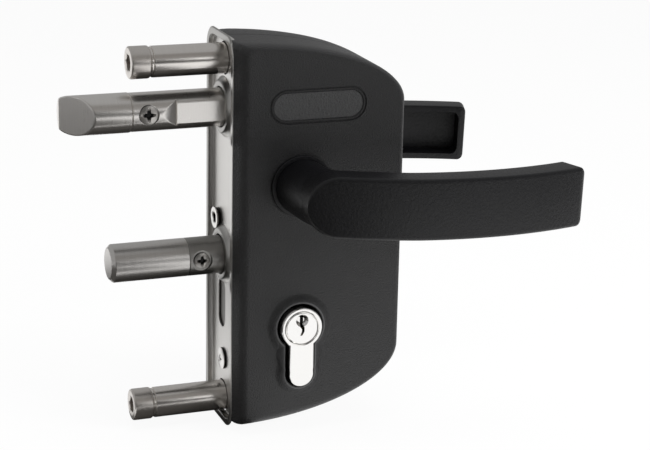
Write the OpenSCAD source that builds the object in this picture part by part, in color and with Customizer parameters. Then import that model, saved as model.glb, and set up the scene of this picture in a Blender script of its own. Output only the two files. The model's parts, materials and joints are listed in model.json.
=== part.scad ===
// Gate lock box with two levers, a bevelled latch and a key-driven deadbolt.
// Millimetres. X runs into the box, the bolts point to -X, the front is -Y and Z is up.
// The origin lies midway between the two fixing sleeves, on the plane of the plate's rim.

/* [Fixings] */
// Distance between the two fixing sleeves
fix_spacing = 140.5; // [138:0.5:146]
// Outer diameter of a fixing sleeve
sleeve_d = 12.25; // [11:0.25:12.5]
// Distance from the rim plane to the underside of a bolt head
sleeve_reach = 28.6; // [20:0.2:36]
// Thread diameter of the fixing bolts
fix_bolt_d = 8; // [6:0.5:8]
// Diameter of a fixing bolt head
fix_head_d = 12.75; // [12:0.25:14]
// Height of a fixing bolt head
fix_head_h = 8; // [6:0.5:10]
// Width across flats of the hex socket in a bolt head
fix_hex = 6; // [5:0.5:6]
// Thickness of the washer under a bolt head
washer_t = 1.7; // [1:0.1:3]

/* [Face plate] */
// Width of the face plate
plate_w = 35; // [34:0.5:38]
// Height of the plate above the top sleeve
plate_above = 10.75; // [10.5:0.25:13]
// Height of the plate below the bottom sleeve
plate_below = 9.35; // [9.1:0.05:12]
// Corner radius of the plate
plate_corner = 8.5; // [5:0.5:10]
// Width of the raised rim
rim_w = 3; // [2:0.25:3.5]
// Height of the rim, front to back
rim_t = 2.6; // [2.2:0.1:3.2]
// Thickness of the thin web across the whole plate
web_t = 0.5; // [0.3:0.1:0.8]
// Thickness of the step that locates the covers
step_t = 2; // [1.5:0.1:3]
// Wall of the collars round the bolts
collar_wall = 2.8; // [2:0.1:3.5]
// Height of the adjusting slot in the plate
slot_h = 20.8; // [14:0.2:24]
// Width of the adjusting slot in the plate
slot_w = 9; // [6:0.5:10]

/* [Covers] */
// Depth of the box behind the rim plane
cover_depth = 70; // [68:0.5:80]
// How far a cover swells past the edge of the plate
cover_swell = 6.5; // [5:0.25:9]
// Wall thickness of the covers
cover_wall = 2.5; // [2:0.1:2.8]
// Height of the curve at the top of the back edge
top_curve = 26; // [20:0.5:30]
// Height of the curve at the bottom of the back edge
bottom_curve = 31; // [26:0.5:33]
// Drop of the rounded edge round the flat face
edge_drop = 2.7; // [1.5:0.1:4]
// Room between the key cylinder and the cut-out in a cover
cutout_room = 1.85; // [1:0.05:2.5]
// Thread diameter of the cover screws
cover_screw_d = 4; // [3:0.5:4]

/* [Positions] */
// Distance from the rim plane to the spindle and the key
backset = 26.2; // [25:0.2:28]
// Height of the latch above the middle of the plate, with the sleeves at their standard spacing
latch_height = 50.8; // [50:0.1:51.5]
// Height of the spindle above the middle of the plate, with the sleeves at their standard spacing
spindle_height = 23; // [22:0.1:23.4]
// Height of the deadbolt above the middle of the plate, with the sleeves at their standard spacing
deadbolt_height = -9.7; // [-11:0.1:-9]
// Height of the key above the middle of the plate, with the sleeves at their standard spacing
plug_height = -34.8; // [-36:0.1:-34]

/* [Levers] */
// Length of a lever from the spindle to its end
lever_len = 105.5; // [80:0.5:130]
// Height of a lever arm
lever_h = 24; // [22:0.5:28]
// Depth of a lever arm's channel section
lever_t = 11.7; // [9:0.1:14]
// Wall of the channel section
lever_wall = 2.6; // [2:0.1:3.5]
// Forward bow of a lever arm
lever_bow = 9; // [4:0.1:14]
// Distance from the cover's face to the ends of the arm's front
lever_reach = 34.8; // [32:0.2:44]
// Downward set of the arms at rest, in degrees
lever_set = 1.8; // [0:0.1:4]
// Diameter of the neck where it meets the bush
neck_d = 22; // [20:0.5:24]
// Diameter of the lever's journal in the bush
journal_d = 18; // [16:0.5:18]
// Square size of the spindle
spindle_sq = 8; // [7:0.25:8.5]
// Diameter of the set screw in a neck
grub_d = 5; // [4:0.5:6]

/* [Latch] */
// Diameter of the latch head
latch_head_d = 15.6; // [15.2:0.1:16]
// Diameter of the latch shaft
latch_shaft_d = 15.2; // [14:0.1:15.2]
// Reach of the latch tip from the rim plane
latch_reach = 63; // [56:0.5:72]
// Length of the head up to the joint with the shaft
latch_head_len = 26.3; // [24:0.1:30]
// Slope of the bevel in plan, in degrees
latch_bevel = 43; // [40:0.5:50]
// Diameter of the tail rod
tail_d = 8; // [7:0.1:8]

/* [Deadbolt] */
// Diameter of the deadbolt
deadbolt_d = 15.3; // [14.5:0.1:15.6]
// Reach of the withdrawn deadbolt from the rim plane
deadbolt_reach = 45.5; // [40:0.5:54]
// Length of the tip up to the joint with the body
deadbolt_tip_len = 31.5; // [28:0.1:33]
// Bevel round the end of the tip
deadbolt_bevel = 1.5; // [0.5:0.1:2.5]

/* [Key cylinder] */
// Length of the cylinder from the middle to each end
cylinder_half = 27.7; // [27:0.1:40]
// Diameter of the cylinder's head
cylinder_d = 17; // [16.8:0.1:17.4]
// Width of the cylinder's leg
leg_w = 10; // [9.6:0.1:10.4]
// Overall height of the cylinder
cylinder_h = 33; // [32.5:0.1:33.4]
// Diameter of a plug
plug_d = 13.6; // [13:0.1:14]
// Width of the gap that the cam turns in
cam_gap = 10; // [9.6:0.1:11]
// Depth of the holding screw below the key
cylinder_screw_drop = 19.6; // [19:0.1:20]

/* [Gears] */
// Module of all the teeth
gear_module = 0.8; // [0.78:0.005:0.82]
// Width of the cam teeth
cam_w = 9.2; // [8:0.1:9.2]
// Width of the idler's wheel
wheel_w = 6; // [4:0.1:6.2]
// Width of the rack
rack_w = 5; // [4:0.1:5.4]
// Diameter of the idler axle
axle_d = 5; // [4:0.1:5]

/* [Springs] */
// Wire diameter of the latch spring
latch_wire = 1.1; // [0.8:0.05:1.2]
// Curls of the latch spring
latch_curls = 9; // [6:1:9]
// Wire diameter of the lever spring
lever_wire = 1.5; // [1:0.1:1.5]
// Curls of the lever spring
lever_curls = 2.5; // [1.5:1:2.5]

/* [Fits and gaps] */
// Radial room of a running fit
run_fit = 0.05; // [0.02:0.01:0.1]
// Radial room of a screw or a seated piece
seat_fit = 0.1; // [0.05:0.01:0.15]
// Gap between surfaces that move past each other
move_gap = 0.35; // [0.3:0.05:0.4]
// Room round the bolts in the plate
bolt_room = 0.45; // [0.3:0.05:0.8]
// Gap between the two covers
parting_gap = 0.1; // [0.05:0.05:0.3]

/* [Hidden] */
$fn = 64;
// Overlap that keeps cutting tools clear of the faces they cut
over = 1;

// Heights, which spread with the sleeves: they are given for the standard spacing
standard_spacing = 140.5;
spread = fix_spacing / standard_spacing;
latch_z = latch_height * spread;
spindle_z = spindle_height * spread;
deadbolt_z = deadbolt_height * spread;
plug_z = plug_height * spread;

// Plate and fixings
fix_z = fix_spacing / 2;
sleeve_step = 0.35;
sleeve_step_x = -0.3;
plate_top = fix_z + plate_above;
plate_bottom = -fix_z - plate_below;
plate_half = plate_w / 2;
floor_x = rim_t - web_t;
back_x = rim_t + step_t;
collar_d = latch_shaft_d + 2 * bolt_room + 2 * collar_wall;
slot_y = 2;
slot_top = plug_z + 14.3;
plate_screw_y = 7.5;
plate_screw_z = deadbolt_z + 13.1;
plate_screw_d = 5;
plate_screw_head_d = 8;
plate_screw_head_h = 2.6;

// Covers
cover_face = plate_half + cover_swell;
cover_inner = cover_face - cover_wall;
cover_top = plate_top - 0.6;
cover_bottom = plate_bottom + 2.1;
cover_left = 0.2;
cover_corner = 2;
left_round = 6;
top_centre = cover_top - top_curve;
bottom_centre = cover_bottom + bottom_curve;
arc_steps = 12;
corner_steps = 4;
dome_steps = 4;
step_side = 2;
step_top = cover_top - cover_wall - 0.3;
step_bottom = cover_bottom + cover_wall + 0.3;
cover_bosses = [
    [30, cover_top - cover_wall - 8.4],
    [cover_depth - 12, spindle_z - 15],
    [30, cover_bottom + cover_wall + 8.6]
];
boss_d = 8;
cover_head_d = 7.4;
cover_head_h = 3;
badge_w = 41.4;
badge_h = 15.5;
badge_x = 32.8;
badge_z = 54.7;
badge_depth = 0.4;

// Case that carries the mechanism
case_out = plate_half - 2.5;
case_t = 2;
case_in = case_out - case_t;
case_right = cover_depth - 8;
case_top = fix_z - 8.25;
case_bottom = -fix_z + 8.75;
guide_right = back_x + 7.4;
post_d = 7;
post_room = 2.3;
block_drop = 7;
block_rise = 6.5;
guide_reach = 10.5;
guide_drop = 10;
deadbolt_guide_top = plate_screw_z + 4.4;
latch_guide_top = case_top - 0.7;
post_screw_d = 4;
post_head_d = 7.2;
post_left = left_round + cover_wall + post_head_d / 2 + 1;
case_posts_at = [
    [case_right - 5, latch_z - block_drop - post_d / 2 - post_room],
    [post_left, (spindle_z + deadbolt_guide_top) / 2 - 1.4],
    [case_right - 7, plug_z - 15.2],
    [post_left, plug_z - 9.2]
];
anchor_right = back_x + 8;
anchor_d = 10.8;
anchor_rise = 5.6;
anchor_drop = 3.2;

// Levers, spindle and follower
bush_flange_d = 25;
bush_flange_t = 1.5;
bush_spigot_d = 21.6;
bush_inner = cover_inner - 1;
hub_start = cover_face + bush_flange_t + move_gap;
journal_inner = case_out + 1;
lever_front = cover_face + lever_reach;
lever_radius = (pow(lever_len / 2, 2) + pow(lever_bow, 2)) / (2 * lever_bow);
lever_centre_y = -lever_front - lever_bow + lever_radius;
tip_angle = asin(lever_len / 2 / lever_radius);
root_x = 3.3;
root_z = 0.5;
pocket_start = 19;
spindle_half = lever_front - 8;
grub_y = hub_start + 8;
follower_half = 6;
follower_d = 22;
follower_journal_d = 16;
follower_end = case_out + 0.5;
arm_scale = (latch_z - spindle_z - tail_d / 2 - 0.7) / 23.1;
arm_base = 19 * arm_scale;
arm_angle = 40;
arm_half = 3;

// Latch
latch_split = -latch_reach + latch_head_len;
latch_screw_x = latch_split + 6.4;
latch_screw_head_d = 7.8;
latch_end = back_x + 9.4;
spigot_d = 9;
spigot_len = 13;
tail_seat = 8;
lug_x = backset + move_gap;
lug_t = 4;
lug_half = 4;
lug_bottom = spindle_z + 17 * arm_scale;
tail_end = lug_x + lug_t + 14.4;
block_t = 4;
block_left = case_right - block_t;
latch_spring_r = tail_d / 2 + latch_wire / 2 + 0.7;
scoop_x = -latch_reach + 42;
flat_depth = 1.3;
flat_end = 0.3;

// Gear train from the cam to the rack
cam_teeth = 21;
wheel_teeth = 23;
pinion_teeth = 10;
pressure = 25;
addendum = 0.8;
dedendum = 1.05;
backlash = 0.3;
cam_r = cam_teeth * gear_module / 2;
wheel_r = wheel_teeth * gear_module / 2;
pinion_r = pinion_teeth * gear_module / 2;
tooth_pitch = PI * gear_module;
centre_distance = cam_r + wheel_r;
rack_pitch_z = deadbolt_z - 12.23;
idler_z = rack_pitch_z - pinion_r;
idler_x = backset + sqrt(pow(centre_distance, 2) - pow(idler_z - plug_z, 2));
mesh_angle = atan2(idler_z - plug_z, idler_x - backset);
throw = 2 * PI * cam_r * pinion_r / wheel_r;
rack_start = guide_right + throw + 1.5;
rack_end = idler_x + throw + 2.05;
rack_y = wheel_w / 2 + 0.6;
pinion_y = wheel_w / 2 + 0.4;
pinion_end = rack_y + rack_w + 0.4;
axle_collar_d = 8;

// Deadbolt
deadbolt_split = -deadbolt_reach + deadbolt_tip_len;
deadbolt_screw_x = deadbolt_split + 5;
deadbolt_screw_head_d = 6.5;
deadbolt_end = rack_start + 13.5;
deadbolt_flat = deadbolt_z - 3.3;
deadbolt_flat_start = back_x + 9.4;

// Key cylinder
plug_bore_d = plug_d + 2 * run_fit;
plug_inner = cam_gap / 2 + 0.2;
leg_bottom = plug_z + cylinder_d / 2 - cylinder_h;
bridge_top = plug_z - cam_r - gear_module * addendum - 1.2;
cylinder_screw_z = plug_z - cylinder_screw_drop;
cylinder_screw_d = 5;
cylinder_screw_head_d = 9;
cylinder_screw_head_h = 1.3;
chamber_d = 3;
pin_d = 2.8;
pins_per_side = 5;
pin_first = plug_inner + 3.6;
pin_step = 3.6;
key_pin_top = 2.6;
key_pin_bottom = plug_d / 2 - 0.4;
driver_top = plug_d / 2 + 0.35;
driver_bottom = driver_top + 5;
pin_spring_bottom = driver_bottom + 8.4;
chamber_bottom = pin_spring_bottom + 2;
clutch_d = 7.8;
clutch_depth = 1.6;

// Small cross-recess screws in the bolts
cross_screw_d = 4;
cross_head_h = 1.6;
cross_bar = 1.1;

// Cylinder along X
module xcyl(x0, x1, y, z, r) {
    translate([x0, y, z]) rotate([0, 90, 0]) cylinder(h = x1 - x0, r = r);
}

// Cone along X
module xcone(x0, x1, y, z, r0, r1) {
    translate([x0, y, z]) rotate([0, 90, 0]) cylinder(h = x1 - x0, r1 = r0, r2 = r1);
}

// Cylinder along Y
module ycyl(y0, y1, x, z, r) {
    translate([x, y1, z]) rotate([90, 0, 0]) cylinder(h = y1 - y0, r = r);
}

// Box between two corners
module box(x0, x1, y0, y1, z0, z1) {
    translate([x0, y0, z0]) cube([x1 - x0, y1 - y0, z1 - z0]);
}

// Outline drawn in X and Z, drawn out along Y
module xz(y0, y1) {
    translate([0, y1, 0]) rotate([90, 0, 0]) linear_extrude(y1 - y0) children();
}

// Outline drawn in Y and Z, drawn out along X
module yz(x0, x1) {
    translate([x0, 0, 0]) rotate([90, 0, 90]) linear_extrude(x1 - x0) children();
}

// Points of an arc, both ends included
function arc(cx, cy, r, a0, a1, steps) = [
    for (i = [0:steps]) [cx + r * cos(a0 + (a1 - a0) * i / steps), cy + r * sin(a0 + (a1 - a0) * i / steps)]
];

// Rectangle with round corners, from its half width and its two heights
function round_rect(half, low, high, r) = concat(
    arc(half - r, low + r, r, -90, 0, corner_steps * 2),
    arc(half - r, high - r, r, 0, 90, corner_steps * 2),
    arc(-half + r, high - r, r, 90, 180, corner_steps * 2),
    arc(-half + r, low + r, r, 180, 270, corner_steps * 2)
);

// Upper and lower edge of the box's back curve, drawn in by an inset
function top_edge(x, inset) =
    top_centre + (top_curve - inset) * sqrt(max(0, 1 - pow(x / (cover_depth - inset), 2)));
function bottom_edge(x, inset) =
    bottom_centre - (bottom_curve - inset) * sqrt(max(0, 1 - pow(x / (cover_depth - inset), 2)));

// Outline of the box at one depth: curved back edge, straight front edge at x = left, corners of radius c
function box_outline(inset, left, c) =
    let (right = cover_depth - inset, start = acos((left + c) / right))
    concat(
        [for (i = [0:corner_steps - 1])
            let (t = 90 * i / corner_steps)
            [left + c - c * cos(t), bottom_edge(left + c, inset) + c - c * sin(t)]],
        [for (i = [0:arc_steps])
            let (a = start * (1 - i / arc_steps))
            [right * cos(a), bottom_edge(right * cos(a), inset)]],
        [for (i = [0:arc_steps])
            let (a = start * i / arc_steps)
            [right * cos(a), top_edge(right * cos(a), inset)]],
        [for (i = [1:corner_steps])
            let (t = 90 * (1 - i / corner_steps))
            [left + c - c * cos(t), top_edge(left + c, inset) - c + c * sin(t)]]
    );

// Rings of points joined into one closed solid
module loft(rings) {
    n = len(rings[0]);
    last = len(rings) - 1;
    sides = [for (i = [0:last - 1], k = [0:n - 1], half = [0:1])
        let (a = i * n + k, b = i * n + (k + 1) % n)
        half == 0 ? [a, a + n, b + n] : [a, b + n, b]];
    polyhedron(
        points = [for (ring = rings, p = ring) p],
        faces = concat(sides, [[for (k = [0:n - 1]) k]], [[for (k = [n - 1:-1:0]) last * n + k]])
    );
}

// Outside of the front cover, from the middle plane to its flat face
module cover_form() {
    flat_rings = [[0, 0.4], [plate_half - plate_corner, 0.4]];
    loft(concat(
        [for (f = flat_rings) [for (p = box_outline(0, cover_left, f[1])) [p[0], -f[0], p[1]]]],
        [for (i = [0:dome_steps])
            let (t = 90 * i / dome_steps, drop = 1 - cos(t), y = -plate_half - cover_swell * sin(t))
            [for (p = box_outline(edge_drop * drop, cover_left + left_round * drop, cover_corner)) [p[0], y, p[1]]]]
    ));
}

// Profile of the key cylinder, grown by some room on all sides
module cylinder_profile(room) {
    translate([backset, plug_z]) circle(cylinder_d / 2 + room);
    translate([backset - leg_w / 2 - room, leg_bottom + leg_w / 2])
        square([leg_w + 2 * room, plug_z - leg_bottom - leg_w / 2]);
    translate([backset, leg_bottom + leg_w / 2]) circle(leg_w / 2 + room);
}

// Front cover, used as it is and mirrored
module cover() {
    difference() {
        union() {
            difference() {
                cover_form();
                xz(-cover_inner, over) polygon(box_outline(cover_wall, left_round + cover_wall, 1));
                xz(-case_out - 0.7, over) polygon(box_outline(cover_wall, rim_t - over, 0.5));
                box(-over, rim_t + seat_fit, -plate_half - seat_fit, over, plate_bottom - over, plate_top + over);
            }
            for (b = cover_bosses) ycyl(-cover_inner - over / 2, -parting_gap / 2, b[0], b[1], boss_d / 2);
        }
        box(-over, cover_depth + over, -parting_gap / 2, over, plate_bottom - over, plate_top + over);
        xz(-cover_face - over, 0) cylinder_profile(cutout_room);
        ycyl(-cover_face - over, 0, backset, spindle_z, bush_spigot_d / 2 + seat_fit);
        for (s = [-1, 1]) {
            xcyl(0, back_x + seat_fit, 0, s * fix_z, sleeve_d / 2 + bolt_room);
            xcyl(0, anchor_right + 0.4, 0, s * fix_z, anchor_d / 2 + seat_fit * 2);
        }
    }
}

module front_cover() {
    color("#1d1e20") difference() {
        cover();
        for (b = cover_bosses) ycyl(-cover_inner, 0, b[0], b[1], cover_screw_d / 2 + seat_fit);
        translate([badge_x, 0, badge_z])
            xz(-cover_face - over, -cover_face + badge_depth)
                polygon(round_rect(badge_w / 2 - 1, -badge_h / 2 + 1, badge_h / 2 - 1, badge_h / 2 - 1.2));
    }
}

module rear_cover() {
    color("#1d1e20") difference() {
        mirror([0, 1, 0]) cover();
        for (b = cover_bosses) {
            ycyl(0, cover_face + over, b[0], b[1], cover_screw_d / 2 + seat_fit);
            ycyl(cover_face - cover_head_h, cover_face + over, b[0], b[1], cover_head_d / 2 + seat_fit);
        }
    }
}

module cover_screws() {
    color("#3a3b3d") for (b = cover_bosses) {
        ycyl(-cover_inner + 2, cover_face - cover_head_h, b[0], b[1], cover_screw_d / 2);
        difference() {
            ycyl(cover_face - cover_head_h, cover_face - 0.4, b[0], b[1], cover_head_d / 2);
            cross_recess(b[0], cover_face - 0.4, b[1]);
        }
    }
}

// Cross recess in a head that faces +Y or -Y at the given place
module cross_recess(x, y, z) {
    for (turn = [0, 90])
        translate([x, y, z]) rotate([0, turn, 0]) cube([cross_bar * 3.2, cross_bar * 1.4, cross_bar], center = true);
}

// Bush in the front cover, used as it is and mirrored
module bush() {
    difference() {
        union() {
            ycyl(-cover_face - bush_flange_t, -cover_face, backset, spindle_z, bush_flange_d / 2);
            ycyl(-cover_face - bush_flange_t / 2, -bush_inner, backset, spindle_z, bush_spigot_d / 2);
        }
        ycyl(-hub_start - over, 0, backset, spindle_z, journal_d / 2 + run_fit);
    }
}

module front_bush() {
    color("#18191a") bush();
}

module rear_bush() {
    color("#18191a") mirror([0, 1, 0]) bush();
}

module face_plate() {
    color("#9a9c9e") difference() {
        union() {
            difference() {
                yz(0, rim_t) polygon(round_rect(plate_half, plate_bottom, plate_top, plate_corner));
                yz(-over, floor_x)
                    polygon(round_rect(plate_half - rim_w, plate_bottom + rim_w, plate_top - rim_w, plate_corner - rim_w));
            }
            yz(rim_t - web_t / 2, back_x)
                polygon(round_rect(plate_half - step_side, step_bottom, step_top, plate_corner - step_side));
            for (z = [latch_z, deadbolt_z]) xcyl(0, rim_t, 0, z, collar_d / 2);
        }
        xcyl(-over, back_x + over, 0, latch_z, latch_shaft_d / 2 + bolt_room);
        xcyl(-over, back_x + over, 0, deadbolt_z, deadbolt_d / 2 + bolt_room);
        for (s = [-1, 1]) xcyl(-over, back_x + over, 0, s * fix_z, sleeve_d / 2 + bolt_room);
        yz(-over, back_x + over) translate([slot_y, 0])
            polygon(round_rect(slot_w / 2, slot_top - slot_h, slot_top, slot_w / 2 - 0.05));
        xcyl(-over, back_x + over, plate_screw_y, plate_screw_z, plate_screw_d / 2 + seat_fit);
        xcyl(-over, back_x + over, 0, cylinder_screw_z, cylinder_screw_d / 2 + seat_fit);
    }
}

// Screw head along X with a hex socket, its underside at x
module socket_head(x, y, z, d, h, hex) {
    difference() {
        xcyl(x - h, x, y, z, d / 2);
        translate([x - h - over, y, z]) rotate([0, 90, 0]) cylinder(h = h * 0.55 + over, d = hex / cos(30), $fn = 6);
    }
}

module plate_screw() {
    color("#4b4c4e") {
        socket_head(floor_x, plate_screw_y, plate_screw_z, plate_screw_head_d, plate_screw_head_h, 4);
        xcyl(floor_x, guide_right - 1, plate_screw_y, plate_screw_z, plate_screw_d / 2);
    }
}

module fixing_sleeve(z) {
    difference() {
        union() {
            xcyl(-sleeve_reach + washer_t, sleeve_step_x, 0, z, sleeve_d / 2);
            xcyl(sleeve_step_x - over, back_x, 0, z, sleeve_d / 2 - sleeve_step);
        }
        xcyl(-sleeve_reach, back_x + over, 0, z, fix_bolt_d / 2 + 2 * seat_fit);
    }
}

module top_fixing_sleeve() {
    color("#b5b7b9") fixing_sleeve(fix_z);
}

module bottom_fixing_sleeve() {
    color("#b5b7b9") fixing_sleeve(-fix_z);
}

module fixing_bolts() {
    color("#55575a") for (s = [-1, 1]) {
        socket_head(-sleeve_reach, 0, s * fix_z, fix_head_d, fix_head_h, fix_hex);
        xcyl(-sleeve_reach, anchor_right - 0.4, 0, s * fix_z, fix_bolt_d / 2);
    }
}

module sleeve_washers() {
    color("#c9cbcd") for (s = [-1, 1]) difference() {
        xcyl(-sleeve_reach, -sleeve_reach + washer_t, 0, s * fix_z, sleeve_d / 2 - 0.3);
        xcyl(-sleeve_reach - over, 0, 0, s * fix_z, fix_bolt_d / 2 + 2 * seat_fit);
    }
}

module anchor_blocks() {
    color("#8a8c8f") for (s = [-1, 1]) difference() {
        union() {
            box(back_x, anchor_right, -case_in, case_in,
                s > 0 ? case_top + 0.2 : -fix_z - anchor_drop, s > 0 ? fix_z + anchor_rise : case_bottom - 0.2);
            xcyl(back_x, anchor_right, 0, s * fix_z, anchor_d / 2);
        }
        xcyl(back_x - over, anchor_right + over, 0, s * fix_z, fix_bolt_d / 2 + seat_fit);
    }
}

// Side plate of the case at the front, used as it is and mirrored
module case_plate() {
    difference() {
        xz(-case_out, -case_in) polygon([
            [back_x, case_bottom], [case_right - 12, case_bottom], [case_right, case_bottom + 11.5],
            [case_right, case_top - 5], [case_right - 5, case_top], [back_x, case_top]
        ]);
        ycyl(-case_out - over, 0, backset, spindle_z, follower_journal_d / 2 + run_fit);
        ycyl(-case_out - over, 0, idler_x, idler_z, axle_d / 2 + seat_fit);
        ycyl(-case_out - over, 0, cover_bosses[1][0], cover_bosses[1][1], boss_d / 2 + 0.6);
        for (p = case_posts_at) ycyl(-case_out - over, 0, p[0], p[1], post_screw_d / 2 + seat_fit);
        xz(-case_out - over, 0) cylinder_profile(0.2);
        ycyl(-case_out - over, 0, backset, plug_z, cam_r + gear_module * addendum + 0.3);
    }
}

module front_case_plate() {
    color("#8f9194") case_plate();
}

module rear_case_plate() {
    color("#8f9194") mirror([0, 1, 0]) case_plate();
}

module case_posts() {
    color("#b0b2b4") for (p = case_posts_at) difference() {
        ycyl(-case_in, case_in, p[0], p[1], post_d / 2);
        for (s = [-1, 1])
            ycyl(min(s * case_in, s * 4), max(s * case_in, s * 4), p[0], p[1], post_screw_d / 2 + seat_fit);
    }
}

module case_screws() {
    color("#5a5c5e") for (p = case_posts_at, s = [0, 1]) mirror([0, s, 0]) difference() {
        union() {
            ycyl(-case_out, -5, p[0], p[1], post_screw_d / 2);
            ycyl(-case_out - 2.2, -case_out, p[0], p[1], post_head_d / 2);
        }
        cross_recess(p[0], -case_out - 2.2, p[1]);
    }
}

// Arm outline seen from the front, drawn in by an inset, with its round root
module arm_outline(inset, start) {
    half = lever_h / 2 - inset;
    translate([start, root_z - half]) square([lever_len - start - inset, 2 * half]);
}

// What is cut off the end of an arm, or of its pocket: square to the arm's curve, drawn in by an inset
module arm_end(inset) {
    translate([lever_len / 2, lever_centre_y, -lever_h]) rotate([0, 0, tip_angle])
        translate([-inset, -lever_radius - over, 0]) cube([lever_h, 2 * lever_t, 2 * lever_h]);
}

// Front lever about the spindle's axis, used as it is and mirrored
module lever() {
    translate([backset, 0, spindle_z]) difference() {
        union() {
            rotate([0, lever_set, 0]) difference() {
                intersection() {
                    translate([lever_len / 2, lever_centre_y, -lever_h]) cylinder(h = 2 * lever_h, r = lever_radius, $fn = 200);
                    union() {
                        difference() {
                            xz(-lever_front - lever_bow - over, -hub_start - 4) arm_outline(0, root_x);
                            translate([lever_len / 2, lever_centre_y, -lever_h])
                                cylinder(h = 2 * lever_h, r = lever_radius - lever_t, $fn = 200);
                        }
                        ycyl(-lever_front - lever_bow, -lever_front + lever_t, root_x, root_z, lever_h / 2);
                    }
                }
                arm_end(0);
                difference() {
                    intersection() {
                        translate([lever_len / 2, lever_centre_y, -lever_h])
                            cylinder(h = 2 * lever_h, r = lever_radius - lever_wall, $fn = 200);
                        xz(-lever_front - lever_bow, -hub_start - 2) arm_outline(lever_wall, pocket_start);
                    }
                    arm_end(lever_wall);
                }
            }
            translate([0, -hub_start, 0]) rotate([90, 0, 0])
                cylinder(h = lever_front - lever_t / 2 - hub_start, r1 = neck_d / 2, r2 = lever_h / 2 - 0.4);
            ycyl(-hub_start - over, -journal_inner, 0, 0, journal_d / 2);
        }
        box(-spindle_sq / 2 - seat_fit, spindle_sq / 2 + seat_fit, -spindle_half - 0.5, 0,
            -spindle_sq / 2 - seat_fit, spindle_sq / 2 + seat_fit);
        translate([0, -grub_y, -lever_h]) cylinder(h = lever_h, d = grub_d + 2 * seat_fit);
    }
}

module front_lever() {
    color("#202124") lever();
}

module rear_lever() {
    color("#202124") mirror([0, 1, 0]) lever();
}

module lever_grub_screws() {
    color("#4a4b4d") for (s = [-1, 1]) translate([backset, s * grub_y, spindle_z]) difference() {
        translate([0, 0, -neck_d / 2 + 0.8])
            cylinder(h = neck_d / 2 - 0.8 - spindle_sq / 2, d = grub_d);
        translate([0, 0, -neck_d / 2]) cylinder(h = 3, d = grub_d / 2, $fn = 6);
    }
}

module spindle() {
    color("#a5a7a9") box(backset - spindle_sq / 2, backset + spindle_sq / 2, -spindle_half, spindle_half,
        spindle_z - spindle_sq / 2, spindle_z + spindle_sq / 2);
}

// Arm of the follower: its right side is an involute, so the lug moves in step with the turn
module follower_arm() {
    involute = [for (i = [0:8])
        let (t = arm_angle * i / 8, w = t * PI / 180)
        arm_base * [w * cos(t) - sin(t), cos(t) + w * sin(t)]];
    polygon(concat(involute, arm_scale * [[-5.6, 22], [-7.4, 18.4], [-8, 6], [0, 6]]));
}

module follower() {
    color("#c2b27c") translate([backset, 0, spindle_z]) difference() {
        union() {
            ycyl(-follower_half, follower_half, 0, 0, follower_d / 2);
            ycyl(-follower_end, follower_end, 0, 0, follower_journal_d / 2);
            xz(-arm_half, arm_half) follower_arm();
        }
        box(-spindle_sq / 2 - seat_fit, spindle_sq / 2 + seat_fit, -follower_end - over, follower_end + over,
            -spindle_sq / 2 - seat_fit, spindle_sq / 2 + seat_fit);
    }
}

// Round wire along a path; each path entry is a place, an outward direction and a sideways direction
module wire(path, d) {
    wire_sides = 6;
    loft([for (p = path) [for (k = [0:wire_sides - 1])
        p[0] + d / 2 * (cos(k * 360 / wire_sides) * p[1] + sin(k * 360 / wire_sides) * p[2])]]);
}

rings_per_curl = 8;

// Gap between neighbouring curls, measured on the places of two rings one curl apart
function curl_gap(path, d) = norm(path[rings_per_curl + 1][0] - path[1][0]) - d;

lever_spring_r = (follower_journal_d / 2 + lever_wire / 2 + 0.3) / cos(180 / rings_per_curl);
lever_spring_start = follower_half + lever_wire / 2 + 0.3;
lever_spring_pitch = (case_in - 0.3 - lever_wire / 2 - lever_spring_start) / lever_curls;
lever_leg = 5.5;

function lever_spring_place(turn) = [
    lever_spring_r * cos(360 * turn), lever_spring_start + lever_spring_pitch * turn, lever_spring_r * sin(360 * turn)
];

lever_spring_path = concat(
    [let (p = lever_spring_place(0)) [p + [0, 0, -lever_leg], [1, 0, 0], [0, 1, 0]]],
    [for (i = [0:rings_per_curl * lever_curls])
        let (turn = i / rings_per_curl, a = 360 * turn)
        [lever_spring_place(turn), [cos(a), 0, sin(a)], [0, 1, 0]]],
    [let (p = lever_spring_place(lever_curls), a = 360 * lever_curls)
        [p + lever_leg * [-sin(a), 0, cos(a)], [cos(a), 0, sin(a)], [0, 1, 0]]]
);

module lever_spring() {
    echo(lever_spring_gap = curl_gap(lever_spring_path, lever_wire));
    color("#bfc1c3") translate([backset, 0, spindle_z]) wire(lever_spring_path, lever_wire);
}

latch_spring_start = lug_x + lug_t + latch_wire / 2 + 0.05;
latch_spring_pitch = (block_left - latch_spring_start - latch_wire / 2 - 0.05) / latch_curls;

latch_spring_path = [for (i = [0:rings_per_curl * latch_curls])
    let (turn = i / rings_per_curl, a = 360 * turn, out = [0, cos(a), sin(a)])
    [[latch_spring_start + latch_spring_pitch * turn, 0, latch_z] + latch_spring_r * out, out, [-1, 0, 0]]];

module latch_spring() {
    echo(latch_spring_gap = curl_gap(latch_spring_path, latch_wire));
    color("#bfc1c3") wire(latch_spring_path, latch_wire);
}

module spring_block() {
    color("#77797c") difference() {
        box(block_left, case_right, -case_in, case_in, latch_z - block_drop, latch_z + block_rise);
        xcyl(block_left - over, case_right + over, 0, latch_z, tail_d / 2 + move_gap);
    }
}

// Spot face and thread for a cross-recess screw that faces the front of a bolt
module cross_screw_seat(x, z, bolt_r, d) {
    ycyl(-bolt_r - over, -bolt_r + 0.9, x, z, d / 2 + 1.6);
    ycyl(-bolt_r, 0, x, z, cross_screw_d / 2 + seat_fit);
}

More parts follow.
